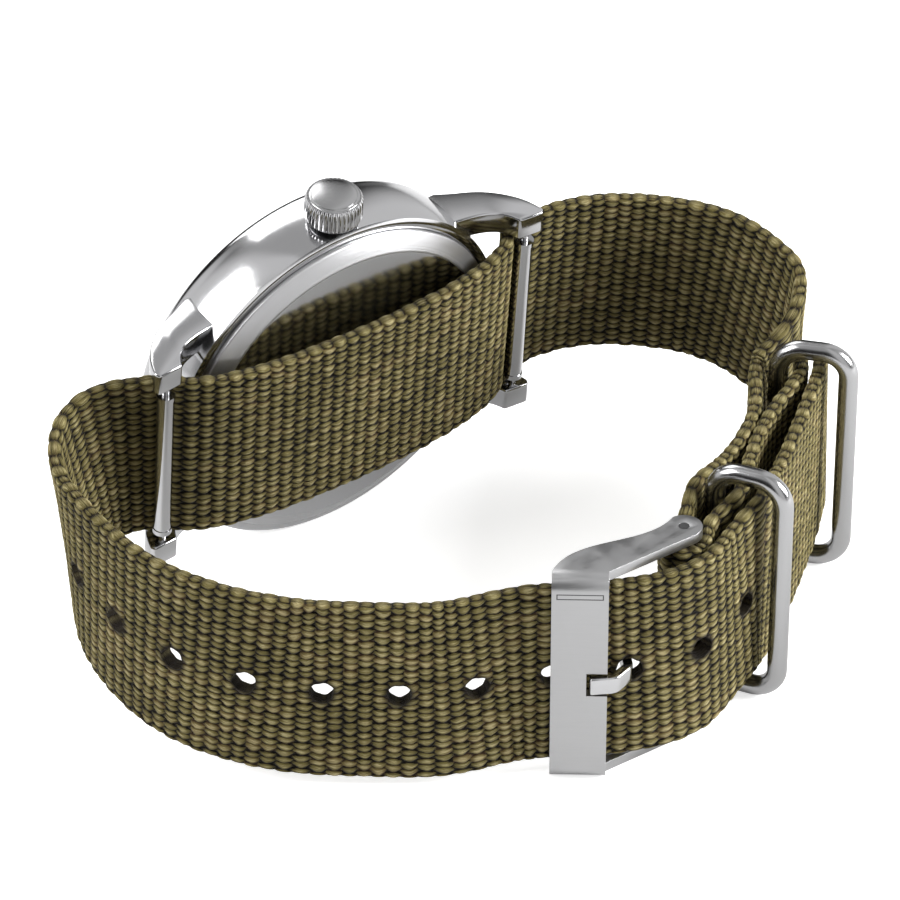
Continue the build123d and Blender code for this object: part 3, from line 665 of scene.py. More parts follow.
def weaveShader():
    net, given, target = newGroup(
        "webbingWeave",
        [("Column pitch", floatSocket, strap["columnPitch"]),
         ("Yarn pitch", floatSocket, strap["yarnPitch"]),
         ("Crown", colorSocket, None), ("Body", colorSocket, None),
         ("Groove", colorSocket, None), ("Rust", colorSocket, None)],
        [("Color", colorSocket), ("Height", floatSocket), ("Rough", floatSocket),
         ("Singe", floatSocket)],
    )
    place = net.add("ShaderNodeAttribute", attribute_name="weave").outputs["Vector"]
    made = weavePattern(net, place, given["Column pitch"], given["Yarn pitch"])
    # single fibres run along each float, and each float takes the dye a little differently
    fibrePlace = net.combine(net.times(made["along"], dyeAndShade["fibreLength"]),
                             net.times(made["yarns"], dyeAndShade["fibreFineness"]), made["side"])
    fibres = net.noise(fibrePlace, dyeAndShade["fibreScale"], 3.0, 0.7)
    cell = floatNoise(net, made, 0.0)
    patch = net.noise(place, dyeAndShade["patchScale"], 3.0)
    lit = made["height"]
    relief = net.plus(lit, net.times(net.less(fibres, 0.5), dyeAndShade["fibreRelief"]))
    for change, key in ((fibres, "fibre"), (cell, "float"), (patch, "patch")):
        lit = net.plus(lit, net.times(net.less(change, 0.5), dyeAndShade[key]))
    # colour by how high the weave stands: painted shade in the low grooves, the yarn's own colour
    # on the body, a painted highlight on the high crowns
    color = net.mix(net.remap(lit, *dyeAndShade["body"]), given["Groove"], given["Body"])
    color = net.mix(net.remap(lit, *dyeAndShade["crown"]), color, given["Crown"])
    rusty = net.times(net.remap(cell, *dyeAndShade["rustyFloats"]),
                      net.remap(patch, *dyeAndShade["rustyPatches"]))
    color = net.mix(rusty, color, given["Rust"])
    singe = net.add("ShaderNodeAttribute", attribute_name="singe").outputs["Fac"]
    net.fill(target, Color=color, Height=relief, Rough=net.remap(fibres, *dyeAndShade["rough"]),
             Singe=singe)
    return net.tree


webbingWeave = weaveShader()

cloth = {
    # crown is a painted highlight and groove a painted shade; body, rust and burnt are the
    # webbing's own colours
    "crown": srgb(184, 174, 130),
    "body": srgb(102, 93, 54),
    "groove": srgb(8, 4, 0),
    "rust": srgb(112, 86, 60),
    "burnt": srgb(20, 13, 6),
    "bumpDepth": 0.00030,
}


def webbingMaterial():
    material, net, shader = newMaterial("oliveWebbing")
    woven = useGroup(net, webbingWeave, Crown=cloth["crown"], Body=cloth["body"],
                     Groove=cloth["groove"], Rust=cloth["rust"])
    burnt = net.mix(woven["Singe"], woven["Color"], cloth["burnt"])
    net.fill(shader, Base_Color=burnt, Roughness=woven["Rough"], Sheen_Weight=0.04,
             Sheen_Roughness=0.5, Specular_IOR_Level=0.12)
    net.bump(shader, woven["Height"], 1.0, cloth["bumpDepth"])
    return material


oliveWebbing = webbingMaterial()


def reliefTree():
    # pushes the smooth webbing in and out along its stored direction
    net, given, target = newGeometryTree("weaveRelief", [
        ("Column pitch", floatSocket, strap["columnPitch"]),
        ("Yarn pitch", floatSocket, strap["yarnPitch"]),
        ("Relief", floatSocket, strap["relief"] * mm),
        ("Unevenness", floatSocket, strap["unevenness"] * mm), ("Seed", floatSocket, 3.0),
    ])

    def stored(name, kind):
        node = net.add("GeometryNodeInputNamedAttribute", data_type=kind)
        node.inputs["Name"].default_value = name
        return next(s for s in node.outputs if s.enabled and s.name == "Attribute")

    place = stored("weave", "FLOAT_VECTOR")
    made = weavePattern(net, place, given["Column pitch"], given["Yarn pitch"])
    cell = floatNoise(net, made, given["Seed"])
    height = net.times(net.less(made["height"], 1.0),
                      given["Relief"])
    uneven = net.times(net.less(cell, 0.6), given["Unevenness"])
    height = net.times(net.plus(height, uneven), stored("relief", "FLOAT"))
    shift = net.add("ShaderNodeVectorMath", operation="SCALE")
    net.put(shift.inputs[0], stored("outward", "FLOAT_VECTOR"))
    net.put(shift.inputs["Scale"], height)
    move = net.fill(net.add("GeometryNodeSetPosition"), Geometry=given["Geometry"],
                    Offset=shift.outputs[0])
    return finishTree(net, given, target, move.outputs[0])


def applyTree(piece, tree, **values):
    # runs a geometry tree on a piece and keeps the result as a plain mesh
    modifier = piece.modifiers.new(tree.name, "NODES")
    modifier.node_group = tree
    for item in tree.interface.items_tree:
        key = item.name.replace(" ", "_")
        if item.item_type == "SOCKET" and item.in_out == "INPUT" and key in values:
            modifier[item.identifier] = values[key]
    baked(piece)


weaveRelief = reliefTree()

pinCentre = seam[0].copy()
pinCentre[2] = head["centre"][2] * (1 + seamStops[0][2])

buckle = {
    "plateSlant": 143.1, "plateReach": 12.67, "stampDrop": 0.55, "stampMargin": 0.45,
    "stampHeight": 0.6, "stampLine": 0.1, "stampLift": (-0.02, 0.006),
}
punched = {
    "radius": 1.12, "tongueRadius": 1.25, "pitch": 7.0, "toTip": 2, "toCase": 8,
    "slotHalf": 1.4, "slotRun": 2.2, "slowWave": 0.05, "fastWave": 0.03,
}
# how far a singe and a flattened weave reach from a hole's rim and from a cut end
singed = {
    "rim": {"reach": 0.55, "dark": 0.95, "flatReach": 0.5, "flatShare": 0.15},
    "end": {"reach": 0.5, "dark": 0.8, "flatReach": 0.4, "flatShare": 0.2},
}
webbingGrid = {"perColumn": 7, "rows": 103, "corner": 5, "sideGap": 7.0, "noRim": 9.0}


def nearestAlong(point):
    return float(fineS[np.argmin(norm(fineP - point, axis=1))])


tongueBends = [pinCentre + np.array((x, y, 0)) * buckle["plateReach"]
               for x, y in ((-0.48, 0.06), (-0.62, -0.19), (-0.78, -0.24))]
tongueMark = nearestAlong((tongueBends[0] + tongueBends[1]) / 2)
holeMarks = [tongueMark + count * punched["pitch"]
             for count in range(-punched["toTip"], punched["toCase"] + 1)]
turnStart = float(markS[routeMarks["turn"]])
turnEnd = turnStart + math.pi * strap["pinTurn"]


def cornersOf(cells):
    # the grid points round each marked cell
    found = np.zeros((cells.shape[0] + 1, cells.shape[1] + 1), bool)
    for i in (0, 1):
        for j in (0, 1):
            found[i:i + cells.shape[0], j:j + cells.shape[1]] |= cells
    return found


def punchFace(marks, rows):
    # one face's grid, drawn to the rims of its holes, and the cells that are cut out
    along = np.tile(marks[:, None], (1, len(rows)))
    width = np.tile(rows[None, :], (len(marks), 1))
    cellS = (marks[:-1] + marks[1:])[:, None] / 2
    cellV = (rows[:-1] + rows[1:])[None, :] / 2
    gone = ((cellS > turnStart - punched["slotRun"]) & (cellS < turnEnd + punched["slotRun"])
            & (np.abs(cellV) < punched["slotHalf"]))
    fromRim = np.full(along.shape, webbingGrid["noRim"])
    for mark in holeMarks:
        radius = punched["tongueRadius"] if mark == tongueMark else punched["radius"]
        hole = np.hypot(cellS - mark, cellV) < radius
        if not hole.any():
            continue
        gone |= hole
        border = cornersOf(hole) & cornersOf(~hole)
        ahead = along - mark
        turn = np.arctan2(width, ahead)
        uneven = (1 + punched["slowWave"] * np.sin(3 * turn + mark)
                  + punched["fastWave"] * np.sin(7 * turn + 2 * mark))
        share = radius * uneven / np.maximum(np.hypot(ahead, width), 0.01)
        along = np.where(border, mark + ahead * share, along)
        width = np.where(border, width * share, width)
        fromRim = np.minimum(fromRim, np.hypot(along - mark, width) - radius)
    return along, width, gone, fromRim


def onceRound(face, edge, faceSign=1, edgeSign=1):
    # one row for each place along: wrist face, upper edge, outer face, lower edge
    return np.concatenate([face, edge, faceSign * face[:, ::-1], edgeSign * edge], axis=1)


def webbingFaces(gone):
    columns, count, corner = gone.shape[0] + 1, gone.shape[1] + 1, webbingGrid["corner"]
    ring = (count + corner) * 2
    missing = np.zeros((columns - 1, ring), bool)
    missing[:, :count - 1] = gone
    missing[:, count + corner:count * 2 + corner - 1] = gone[:, ::-1]
    faces = []
    for i, k in zip(*np.nonzero(~missing)):
        here, ahead, beside = i * ring, (i + 1) * ring, (k + 1) % ring
        faces.append((here + k, here + beside, ahead + beside, ahead + k))
    # walls of the holes and the slot, from the wrist face to the outer face
    inside = np.pad(gone, 1)
    walls = (((0, 0), (1, 0), (0, -1)), ((1, 1), (0, 1), (0, 1)),
             ((0, 1), (0, 0), (-1, 0)), ((1, 0), (1, 1), (1, 0)))
    for i, j in zip(*np.nonzero(gone)):
        for start, end, beyond in walls:
            if inside[i + 1 + beyond[0], j + 1 + beyond[1]]:
                continue
            wrist = [(i + di) * ring + j + dj for di, dj in (start, end)]
            outer = [(i + di + 1) * ring - corner - 1 - j - dj for di, dj in (end, start)]
            faces.append((*wrist, *outer))
    faces.append(tuple(range(ring)))
    faces.append(tuple(range((columns - 1) * ring, columns * ring))[::-1])
    return faces


def dropLoose(work):
    bmesh.ops.delete(work, geom=[v for v in work.verts if not v.link_faces], context="VERTS")


def webbingPiece(name, start, end):
    step = strap["columnPitch"] / webbingGrid["perColumn"]
    marks = np.arange(round(start / step), round(end / step) + 1) * step
    marks[-1] = min(marks[-1], strapLength)
    deep, edge = strap["thickness"] / 2, strap["edgeRadius"]
    flat = strap["width"] / 2 - edge
    along, width, gone, fromRim = punchFace(marks, np.linspace(-flat, flat, webbingGrid["rows"]))
    turns = np.linspace(math.pi / 2, -math.pi / 2, webbingGrid["corner"] + 2)[1:-1]
    edgeSize = (len(marks), len(turns))
    distance = onceRound(along, np.tile(marks[:, None], (1, len(turns)))).ravel()
    side = onceRound(width, np.tile(flat + edge * np.cos(turns), (len(marks), 1)), 1, -1).ravel()
    depth = onceRound(np.full(along.shape, deep),
                      np.tile(deep * np.sin(turns), (len(marks), 1)), -1, -1).ravel()
    fromRim = onceRound(fromRim, np.full(edgeSize, webbingGrid["noRim"])).ravel()
    places, across, through, _ = ribbonAt(distance)
    piece = newPiece(name, places + across * side[:, None] + through * depth[:, None],
                     webbingFaces(gone))
    # the relief pushes off the faces, and sideways on the rounded edges
    onEdge = np.clip((np.abs(side) - flat) / edge, 0, 1)
    outward = (through * (depth / deep * np.sqrt(1 - onEdge ** 2))[:, None]
               + across * (np.sign(side) * onEdge)[:, None])
    singe, relief = np.zeros(len(distance)), np.ones(len(distance))
    for key, reach in (("rim", fromRim), ("end", np.minimum(distance, strapLength - distance))):
        burn = singed[key]
        singe = np.maximum(singe, np.clip(1 - reach / burn["reach"], 0, 1) * burn["dark"])
        relief *= np.clip(reach / burn["flatReach"], burn["flatShare"], 1)
    face = np.sign(depth) * webbingGrid["sideGap"]
    store(piece, "weave", np.stack([distance, side, face], axis=1))
    store(piece, "outward", unitRows(outward, 0.01))
    store(piece, "relief", relief)
    store(piece, "singe", singe)
    pointOut(piece, dropLoose)
    applyTree(piece, weaveRelief, Relief=strap["relief"] * mm,
              Unevenness=strap["unevenness"] * mm, Seed=3.0, Column_pitch=strap["columnPitch"],
              Yarn_pitch=strap["yarnPitch"], Finish=oliveWebbing)
    smooth(piece, 70)
    print("webbing", name, len(piece.data.polygons))
    return piece


sixBar = float(markS[routeMarks["sixBar"]])
twelveBar = float(markS[routeMarks["twelveBar"]])
webbing = [
    webbingPiece("webbingTail", 0.0, sixBar * 0.5),
    webbingPiece("webbingSixSide", sixBar * 0.5, sixBar),
    webbingPiece("webbingHead", sixBar, twelveBar + 8),
    webbingPiece("webbingTwelveSide", twelveBar + 8, (twelveBar + strapLength) / 2),
    webbingPiece("webbingSeam", (twelveBar + strapLength) / 2, strapLength),
]
for piece in webbing:
    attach(piece, "head_and_strap")
    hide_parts("strap")

# case, turned about the dial axis

case = {
    "radius": 18.6, "bulge": 0.25, "bandTop": 2.8, "bandBottom": -2.9,
    "bezelRadius": 17.1, "bezelTop": 4.3, "seat": 16.25, "ledge": 14.7, "ledgeLevel": 3.0,
    "ledgeThickness": 0.5, "bore": 15.2, "snapTop": -1.2, "snapBore": 16.2,
    "backSeat": -2.3, "backRadius": 17.3, "backEdge": -3.1, "backEdgeRadius": 18.0,
    "lugInner": 10.0, "lugOuter": 12.5, "lugTip": 22.0, "barReach": 20.4, "barDrop": 4.1,
    "lugRoot": 12.6, "lugBevel": 0.22, "boreLevel": -0.85, "tubeRadius": 1.35,
    "bulgePower": 2.2, "shoulderOut": 0.05, "shoulderDown": 0.15, "corner": 0.12,
}


def caseProfile():
    c = case
    flank = []
    for step in range(13):
        share = step / 12 * 2 - 1
        level = c["bandBottom"] + (c["bandTop"] - c["bandBottom"]) * step / 12
        flank.append((c["radius"] - c["bulge"] * abs(share) ** c["bulgePower"], level))
    start, end = flank[-1], (c["bezelRadius"], c["bezelTop"])
    corner = (start[0] - c["shoulderOut"], end[1] - c["shoulderDown"])
    shoulder = [tuple(quarterCurve(start[k], corner[k], end[k], step / 10) for k in (0, 1))
                for step in range(1, 10)]
    underLedge = c["ledgeLevel"] - c["ledgeThickness"]
    inner = [
        (c["seat"], c["bezelTop"]), (c["seat"], c["ledgeLevel"]), (c["ledge"], c["ledgeLevel"]),
        (c["ledge"], underLedge), (c["bore"], underLedge), (c["bore"], c["snapTop"]),
        (c["snapBore"], c["snapTop"]), (c["snapBore"], c["backSeat"]),
        (c["backRadius"], c["backSeat"]), (c["backRadius"], c["backEdge"]),
        (c["backEdgeRadius"], c["backEdge"]),
    ]
    inner = softened([end] + inner + [flank[0]], c["corner"], 2, False)
    return flank + shoulder + [end] + inner[1:-1]


caseRing = lathe("caseRing", caseProfile(), 320)


def boreCase():
    # the passage for the crown's tube
    def fromCentre(x, y, out):
        return onDial(x, out, case["boreLevel"] + y)

    ends = [(case["tubeRadius"], case["bore"] - 1.0), (case["tubeRadius"], case["radius"] + 1.0)]
    cutter = lathe("boreCutter", ends, 48, fromCentre, False)
    cut = caseRing.modifiers.new("bore", "BOOLEAN")
    cut.operation, cut.solver, cut.object = "DIFFERENCE", "EXACT", cutter
    baked(caseRing)
    bpy.data.objects.remove(cutter)
    smooth(caseRing)


boreCase()
finishWith(caseRing, polishedSteel)

lugTop = [(0.645, 0.64), (0.723, 0.43), (0.795, 0.26), (0.864, 0.02),
          (0.918, -0.26), (0.964, -0.60), (0.986, -0.86), (1.0, -1.10)]
lugUnder = [(0.985, -1.23), (0.870, -1.18), (0.855, -1.00), (0.827, -0.79),
            (0.750, -0.56), (0.640, -0.44)]


def curved(points, steps):
    spans, at = splineThrough([(x, y, 0) for x, y in points])
    return [tuple(p[:2]) for p in at(np.linspace(0, spans[-1], steps))]


def lugOutline():
    top, (heel, *under) = ([(x * case["lugTip"], y * case["barDrop"]) for x, y in line]
                           for line in (lugTop, lugUnder))
    outline = curved(top, 24) + [heel] + curved(under, 14)
    return outline + [(case["lugRoot"], under[-1][1]), (case["lugRoot"], top[0][1])]


def lugPiece(name, end, side):
    outline = lugOutline()
    verts = onHead([(x * end, y, side * case[flank]) for flank in ("lugInner", "lugOuter")
                    for x, y in outline])
    count = len(outline)
    faces = [tuple(range(count)), tuple(range(count, count * 2))[::-1]]
    faces += [(k, k + count, (k + 1) % count + count, (k + 1) % count) for k in range(count)]
    piece = newPiece(name, verts, faces)
    pointOut(piece)
    breakEdges(piece, case["lugBevel"], 40)
    smooth(piece, 50)
    finishWith(piece, polishedSteel)
    return piece


lugs = [lugPiece(f"lug{place}{level}", end, side)
        for place, end in (("Six", -1), ("Twelve", 1))
        for level, side in (("Lower", -1), ("Upper", 1))]

for piece in [caseRing] + lugs:
    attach(piece, "head_and_strap")
    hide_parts("case_body")

# case back: brushed cone round a flat polished middle
back = {"plate": -4.4, "inner": -3.5, "edge": -3.5, "flat": 15.6, "outer": 17.26, "gasket": -2.65,
        "snap": 16.16, "wall": 0.7, "rim": -1.55, "corner": 0.12, "lipCorner": 0.08,
        "pole": 0.02}
backFlank = [(back["outer"], back["edge"]), (back["outer"], back["gasket"])]
backLip = softened(backFlank + [
    (back["snap"], back["gasket"]), (back["snap"], back["rim"]),
    (back["snap"] - back["wall"], back["rim"]), (back["snap"] - back["wall"], back["inner"]),
], back["lipCorner"], 2, False)
middleEdge = (back["flat"] - 0.5, back["plate"])
backCone = softened([middleEdge, (back["flat"], back["plate"])] + backFlank, back["corner"], 3,
                    False)
backProfile = ([(back["pole"], back["plate"]), middleEdge] + backCone[1:-1] + backLip[1:]
               + [(back["pole"], back["inner"])])
caseBack = lathe("caseBackCover", backProfile, 256, turned=True)
caseBack.data.materials.append(turnedSteel)
caseBack.data.materials.append(polishedSteel)
for face in caseBack.data.polygons:
    corners = [np.array(caseBack.data.vertices[v].co) / mm for v in face.vertices]
    radial = np.mean(corners, axis=0) - centre
    reach = math.hypot(radial @ toTwelve, radial @ toCrown)
    face.material_index = 0 if reach > back["flat"] - 0.1 else 1
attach(caseBack, "head_and_strap")
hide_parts("case_back")
print("case made")

# crown with its fluted grip

crown = {
    "level": -0.85, "radius": 2.75, "inner": 18.95, "length": 2.6, "bevel": 0.3,
    "domeRadius": 2.15, "dome": 0.25, "bore": 1.45, "boreDepth": 0.8,
    "flutes": 40, "flute": 0.17, "fluteDepth": 0.14, "fluteEnd": 0.28,
}


def onStem(x, y, level):
    return onDial(x, level, crown["level"] + y)


outer = crown["inner"] + crown["length"]
crownBottom = crown["inner"] + crown["boreDepth"]
crownGroove = crown["radius"] - crown["fluteDepth"]
crownRim = crown["radius"] - crown["bevel"] - 0.1
crownProfile = [
    (0.02, crownBottom), (crown["bore"], crownBottom), (crown["bore"], crown["inner"]),
    (crownRim, crown["inner"]), (crownGroove, crown["inner"] + crown["bevel"]),
    (crownGroove, outer - crown["bevel"]), (crownRim, outer), (crown["domeRadius"], outer + 0.02),
]
crownProfile = softened(crownProfile, 0.1, 3, False)
for step in range(1, 9):
    turn = step / 8 * math.pi / 2
    crownProfile.append((crown["domeRadius"] * math.cos(turn) + 0.01,
                         outer + 0.02 + (crown["dome"] - 0.02) * math.sin(turn)))
crownCore = lathe("crownCore", crownProfile, 96, place=onStem, closedProfile=False)
finishWith(crownCore, wireSteel)


def ringTree():
    # one form repeated evenly round a circle
    net, given, target = newGeometryTree("ringOfCopies", [
        ("Count", "NodeSocketInt", crown["flutes"]), ("Reach", floatSocket, crown["radius"] * mm),
    ])
    circle = net.fill(net.add("GeometryNodeCurvePrimitiveCircle", mode="RADIUS"),
                      Resolution=given["Count"], Radius=given["Reach"])
    place = net.add("GeometryNodeInputIndex").outputs[0]
    turn = net.math("DIVIDE", net.times(place, 2 * math.pi), given["Count"])
    points = net.fill(net.add("GeometryNodeInstanceOnPoints"), Points=circle.outputs["Curve"],
                      Instance=given["Geometry"], Rotation=net.combine(0.0, 0.0, turn))
    return finishTree(net, given, target, points.outputs[0])


def flutePiece():
    # one ridge, drawn out along the crown and lower at its two ends
    half, length, end = crown["flute"], crown["length"] - 0.1, crown["fluteEnd"]
    low = crown["inner"] + 0.05
    outline = [(-0.25, -half), (-0.02, -half), (0.10, -half * 0.55), (crown["fluteDepth"], 0.0),
               (0.10, half * 0.55), (-0.02, half), (-0.25, half)]
    rows = [(low, -0.06), (low + end, 1.0), (low + length - end, 1.0), (low + length, -0.06)]
    verts = [(min(x, most), y, level) for level, most in rows for x, y in outline]
    return newPiece("crownGrip", verts, latheFaces(4, len(outline)))


ringOfCopies = ringTree()
crownGrip = flutePiece()
pointOut(crownGrip)
applyTree(crownGrip, ringOfCopies, Count=crown["flutes"], Reach=crownGroove * mm,
          Finish=polishedSteel)
moveEach(crownGrip, onStem)
smooth(crownGrip, 30)
for piece in (crownCore, crownGrip):
    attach(piece, "crown")
    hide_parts("crown")
print("crown made")

# keepers: polished wire rings

keeper = {"wire": 1.9, "depth": 6.7, "height": 23.4, "corner": 2.5}


def keeperPiece(name, node, stop):
    out = seamNormals[stop]
    middle = seam[stop].copy()
    middle[2] = (keeper["wire"] + keeper["height"]) / 2
    middle = middle + out * keeper["depth"] / 2
    radius = keeper["corner"]
    straightD, straightH = keeper["depth"] / 2 - radius, keeper["height"] / 2 - radius
    points = []
    for x, y, start in ((1, 1, 0), (-1, 1, 90), (-1, -1, 180), (1, -1, 270)):
        for step in range(13):
            turn = math.radians(start + 90 * step / 12)
            points.append(middle + out * (x * straightD + radius * math.cos(turn))
                          + up * (y * straightH + radius * math.sin(turn)))
    piece = tube(name, points, keeper["wire"] / 2, 28, unit(np.cross(out, up)))
    finishWith(piece, wireSteel)
    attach(piece, node)
    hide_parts(node)
    return piece


keeperPiece("keeperRingFront", "keeper_front", 2)
keeperPiece("keeperRingRear", "keeper_rear", 7)

# buckle and tongue: the solids' own shapes with broken edges

buckleFrame = carried("buckleStamping", "buckle_frame", 0.14)
finishWith(buckleFrame, satinSteel)
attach(buckleFrame, "buckle")
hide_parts("buckle_frame")


def bendStampShade():
    # a fine dark rectangle laid on the plate under its bend: painted shade standing for a line
    # pressed into it
    turn = math.radians(buckle["plateSlant"])
    along = np.array((math.cos(turn), math.sin(turn), 0.0))
    outward = np.array((-along[1], along[0], 0.0))
    if outward[1] > 0:
        outward = -outward
    places = np.array([v.co for v in buckleFrame.data.vertices]) / mm
    depth = places @ outward
    plate = places[depth > depth.max() - 0.05]
    width = plate @ along
    top = plate[:, 2].max() - buckle["stampDrop"]
    middle = (width.max() + width.min()) / 2
    verts = []
    for inset in (0.0, buckle["stampLine"]):
        halfW = (width.max() - width.min()) / 2 - buckle["stampMargin"] - inset
        halfH = buckle["stampHeight"] / 2 - inset
        verts += [outward * (depth.max() + lift) + along * (middle + x * halfW)
                  + up * (top + y * halfH)
                  for x, y in ((-1, -1), (1, -1), (1, 1), (-1, 1)) for lift in buckle["stampLift"]]
    faces = []
    for k in range(4):
        a, b = k * 2, (k + 1) % 4 * 2
        faces += [(a, b, b + 8, a + 8), (a + 1, b + 1, b + 9, a + 9), (a, b, b + 1, a + 1),
                  (a + 8, b + 8, b + 9, a + 9)]
    piece = newPiece("plateStampShade", verts, faces)
    pointOut(piece)
    return piece


plateStampShade = bendStampShade()
# the stamp's dark metal is painted shade of the pressed line
finishWith(plateStampShade, metalMaterial("stampShadow", (0.10, 0.10, 0.10, 1.0), 0.5))
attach(plateStampShade, "buckle")
tongue = carried("tongueBlade", "buckle_tongue", 0.18)
finishWith(tongue, polishedSteel)
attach(tongue, "tongue")
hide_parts("buckle_tongue")
print("buckle made")

# finishes of the solids that stay

coatBumpDistance = 0.00002


def coatMaterial(name, light, dark, rough, grain=2500.0, depth=0.3, metallic=0.0):
    # paint, rubber, plastic or plain metal: clouded colour over a fine grain
    material, net, shader = newMaterial(name)
    place = net.add("ShaderNodeTexCoord").outputs["Object"]
    fine = net.noise(place, grain, 3.0, 0.6)
    cloud = net.noise(place, grain / 12, 2.0)
    share = net.plus(net.times(fine, 0.5), net.times(cloud, 0.5))
    net.fill(shader, Base_Color=net.mix(net.remap(share, 0.32, 0.68), dark, light),
             Roughness=net.remap(fine, 0.3, 0.7, rough - 0.06, rough + 0.06), Metallic=metallic)
    net.bump(shader, fine, depth, coatBumpDistance)
    return material


def glassMaterial():
    material, net, shader = newMaterial("crystalGlass")
    marks = useGroup(net, handling, Rough=0.02, Smudge=0.03, Scratch=0.04)
    net.fill(shader, Roughness=marks["Rough"], Transmission_Weight=1.0, IOR=1.52)
    return material


coats = {name: coatMaterial(name, srgb(*light), srgb(*dark), *rest)
         for name, light, dark, *rest in (
    ("blackRubber", (34, 33, 32), (20, 20, 20), 0.62),
    ("dialPaint", (46, 46, 44), (36, 36, 35), 0.55, 5000.0, 0.4),
    ("palePrint", (226, 222, 204), (208, 203, 182), 0.6, 5000.0),
    ("handPaint", (232, 230, 220), (216, 213, 200), 0.4, 6000.0, 0.2),
    ("plateBrass", (212, 184, 122), (188, 160, 100), 0.3, 3000.0, 0.3, 1.0),
    ("palePlastic", (206, 204, 196), (190, 188, 180), 0.5),
    ("coilCopper", (196, 112, 72), (160, 82, 50), 0.32, 3500.0, 0.6, 1.0),
)}
coatedNodes = {
    "blackRubber": ["crystal_gasket", "case_back_gasket", "crown_gasket"],
    "dialPaint": ["dial", "chapter_ring"],
    "handPaint": ["hour_hand", "minute_hand", "second_hand"],
    "plateBrass": ["main_plate"], "palePlastic": ["movement_holder"], "coilCopper": ["coil"],
}
for name, covered in coatedNodes.items():
    for node in covered:
        finishWith(nodes[node], coats[name])
finishWith(nodes["crystal"], glassMaterial())

# the printed dial: ticks, hour marks and two rings of numerals

dialPrint = {
    "face": 1.6, "thick": 0.03, "sunk": 0.005,
    # reach, length and width
    "minutes": (13.2, 0.7, 0.13), "hours": (12.45, 1.1, 0.55),
    "numeralReach": 10.1, "numeralSize": 3.3, "innerReach": 7.2, "innerSize": 1.5,
}


def printOnDial(piece):
    # from flat work, y to twelve o'clock, to its place on the dial
    moveEach(piece, lambda x, y, z: onDial(y, x, dialPrint["face"] - dialPrint["sunk"] + z))
    finishWith(piece, coats["palePrint"])
    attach(piece, "head_and_strap")


def marksRing(name, count, reach, length, width):
    halfL, halfW, thick = length / 2, width / 2, dialPrint["thick"]
    outline = [(-halfL, -halfW * 0.7), (halfL, -halfW), (halfL, halfW), (-halfL, halfW * 0.7)]
    verts = [(x, y, z) for z in (0, thick) for x, y in outline]
    piece = newPiece(name, verts, latheFaces(2, 4))
    applyTree(piece, ringOfCopies, Count=count, Reach=reach * mm, Finish=coats["palePrint"])
    printOnDial(piece)


def numeralRing(name, first, reach, size):
    verts, faces = [], []
    for hour in range(12):
        text = bpy.data.curves.new(name, "FONT")
        text.body = str(first + hour)
        text.size = size
        text.extrude = dialPrint["thick"] / 2
        text.resolution_u = 3
        text.align_x, text.align_y = "CENTER", "CENTER"
        holder = placed(name, text)
        flat = meshOf(holder)
        bpy.data.objects.remove(holder)
        turn = math.radians(30) * ((hour + 1) % 12)
        start = len(verts)
        verts += [(v.co.x + reach * math.sin(turn), v.co.y + reach * math.cos(turn),
                   v.co.z + dialPrint["thick"] / 2) for v in flat.vertices]
        faces += [tuple(start + v for v in face.vertices) for face in flat.polygons]
    printOnDial(newPiece(name, verts, faces))


marksRing("minuteTicks", 60, *dialPrint["minutes"])
marksRing("hourMarks", 12, *dialPrint["hours"])
numeralRing("hourNumerals", 1, dialPrint["numeralReach"], dialPrint["numeralSize"])
numeralRing("innerNumerals", 13, dialPrint["innerReach"], dialPrint["innerSize"])
print("dial printed")

for node in ("bar_tube_six", "bar_tube_twelve", "bar_tip_six_upper", "bar_tip_six_lower",
             "bar_tip_twelve_upper", "bar_tip_twelve_lower", "buckle_pin", "stem", "crown_tube"):
    finishWith(nodes[node], polishedSteel)
for node in ("bridge", "bridge_screws", "battery", "battery_clamp", "coil_core",
             "setting_lever"):
    finishWith(nodes[node], satinSteel)

# camera at the photograph's angle, then stage and light


def aim(item, place, way):
    item.location = Vector(place)
    item.rotation_mode = "QUATERNION"
    item.rotation_quaternion = Vector(way).to_track_quat("-Z", "Y")


camera = {"azimuth": -33.85, "elevation": 34.1, "distance": 550.0, "focal": 5755.0,
          "aim": (321.5, 356.75), "sensor": 36.0, "frame": 900.0}
azimuth, elevation = math.radians(camera["azimuth"]), math.radians(camera["elevation"])
backward = np.array((math.sin(azimuth) * math.cos(elevation),
                     -math.cos(azimuth) * math.cos(elevation), math.sin(elevation)))
right = np.array((math.cos(azimuth), math.sin(azimuth), 0))
upward = np.cross(backward, right)
half = camera["frame"] / 2
look = (-backward + (half - camera["aim"][0]) / camera["focal"] * right
        - (half - camera["aim"][1]) / camera["focal"] * upward)
lens = bpy.data.cameras.new("camera")
lens.sensor_width = camera["sensor"]
lens.lens = camera["focal"] / camera["frame"] * camera["sensor"]
lens.clip_start, lens.clip_end = 0.01, 10
eye = placed("camera", lens)
aim(eye, (centre + backward * camera["distance"]) * mm, look)
scene.camera = eye
scene.view_settings.view_transform = "Standard"

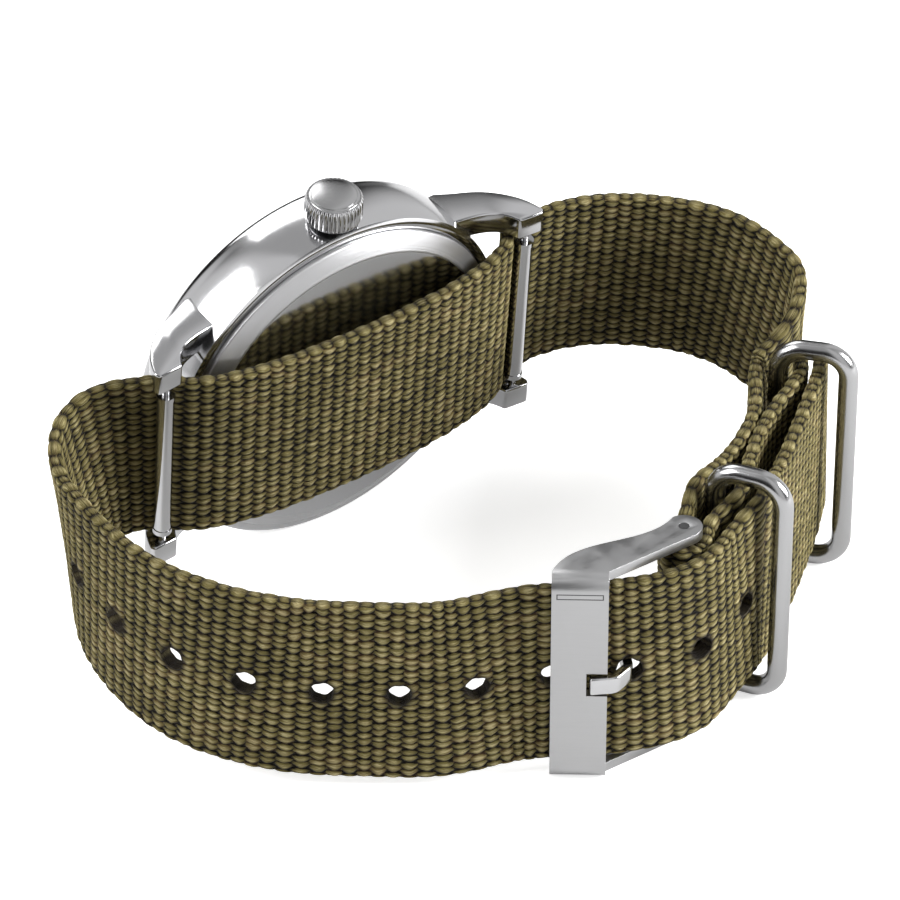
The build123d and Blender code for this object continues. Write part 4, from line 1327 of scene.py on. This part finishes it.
floor = newPiece("floor", [(-1500, -1500, 0), (1500, -1500, 0), (1500, 1500, 0), (-1500, 1500, 0)],
                 [(0, 1, 2, 3)])
table = {
    "tint": (0.86, 0.86, 0.86, 1), "mirrored": (0.62, 0.62, 0.62, 1),
    "glow": 0.64, "mirroredGlow": 0.16,
}
white, net, shader = newMaterial("whiteTable")
rays = net.add("ShaderNodeLightPath").outputs
seen = net.math("MAXIMUM", rays["Is Camera Ray"], rays["Is Transmission Ray"])
glow = net.plus(net.times(seen, table["glow"]),
                net.times(rays["Is Glossy Ray"], table["mirroredGlow"]))
net.fill(shader, Roughness=0.9, Specular_IOR_Level=0.1, Emission_Color=(1, 1, 1, 1),
         Base_Color=net.mix(rays["Is Glossy Ray"], table["tint"], table["mirrored"]),
         Emission_Strength=glow)
finishWith(floor, white)

studio = {
    "panels": 3.0, "panelTurn": 0.6, "panelFrom": 0.05, "panelTo": 0.80,
    "skyFrom": 0.45, "skyTo": 0.85, "skyShare": 0.60, "most": 0.84, "least": 0.015, "plain": 0.38,
}
world = bpy.data.worlds.new("studio")
world.use_nodes = True
scene.world = world
sky = Net(world.node_tree)
direction = sky.add("ShaderNodeTexCoord").outputs["Generated"]
ways = sky.fill(sky.add("ShaderNodeSeparateXYZ"), Vector=direction).outputs
rays = sky.add("ShaderNodeLightPath").outputs
# metal sees a bright sky, a dark band above the table and soft dark panels round the room
spin = sky.times(sky.math("ARCTAN2", ways[1], ways[0]), studio["panels"])
panels = sky.remap(sky.math("SINE", sky.plus(spin, studio["panelTurn"])),
                   studio["panelFrom"], studio["panelTo"])
band = sky.times(sky.remap(ways[2], studio["skyFrom"], studio["skyTo"]),
                studio["skyShare"])
shade = sky.plus(sky.times(panels, sky.less(1.0, band)), band)
shade = sky.plus(sky.times(shade, studio["most"]), studio["least"])
plain = sky.times(sky.less(1.0, rays["Is Glossy Ray"]), studio["plain"])
light = sky.plus(sky.times(shade, rays["Is Glossy Ray"]), plain)
sky.fill(world.node_tree.nodes["Background"], Color=(1, 1, 1, 1),
         Strength=sky.math("MAXIMUM", light, rays["Is Camera Ray"]))


def lamp(name, place, size, power):
    data = bpy.data.lights.new(name, "AREA")
    data.shape = "SQUARE"
    data.size = size
    data.energy = power
    aim(placed(name, data), place, Vector((0, 0, 0.015)) - Vector(place))


lamp("keyLamp", (0.44, -0.36, 0.30), 0.30, 7.4)
lamp("fillLamp", (-0.45, 0.22, 0.42), 0.35, 3.4)
lamp("backLamp", (0.10, 0.60, 0.50), 0.40, 1.6)
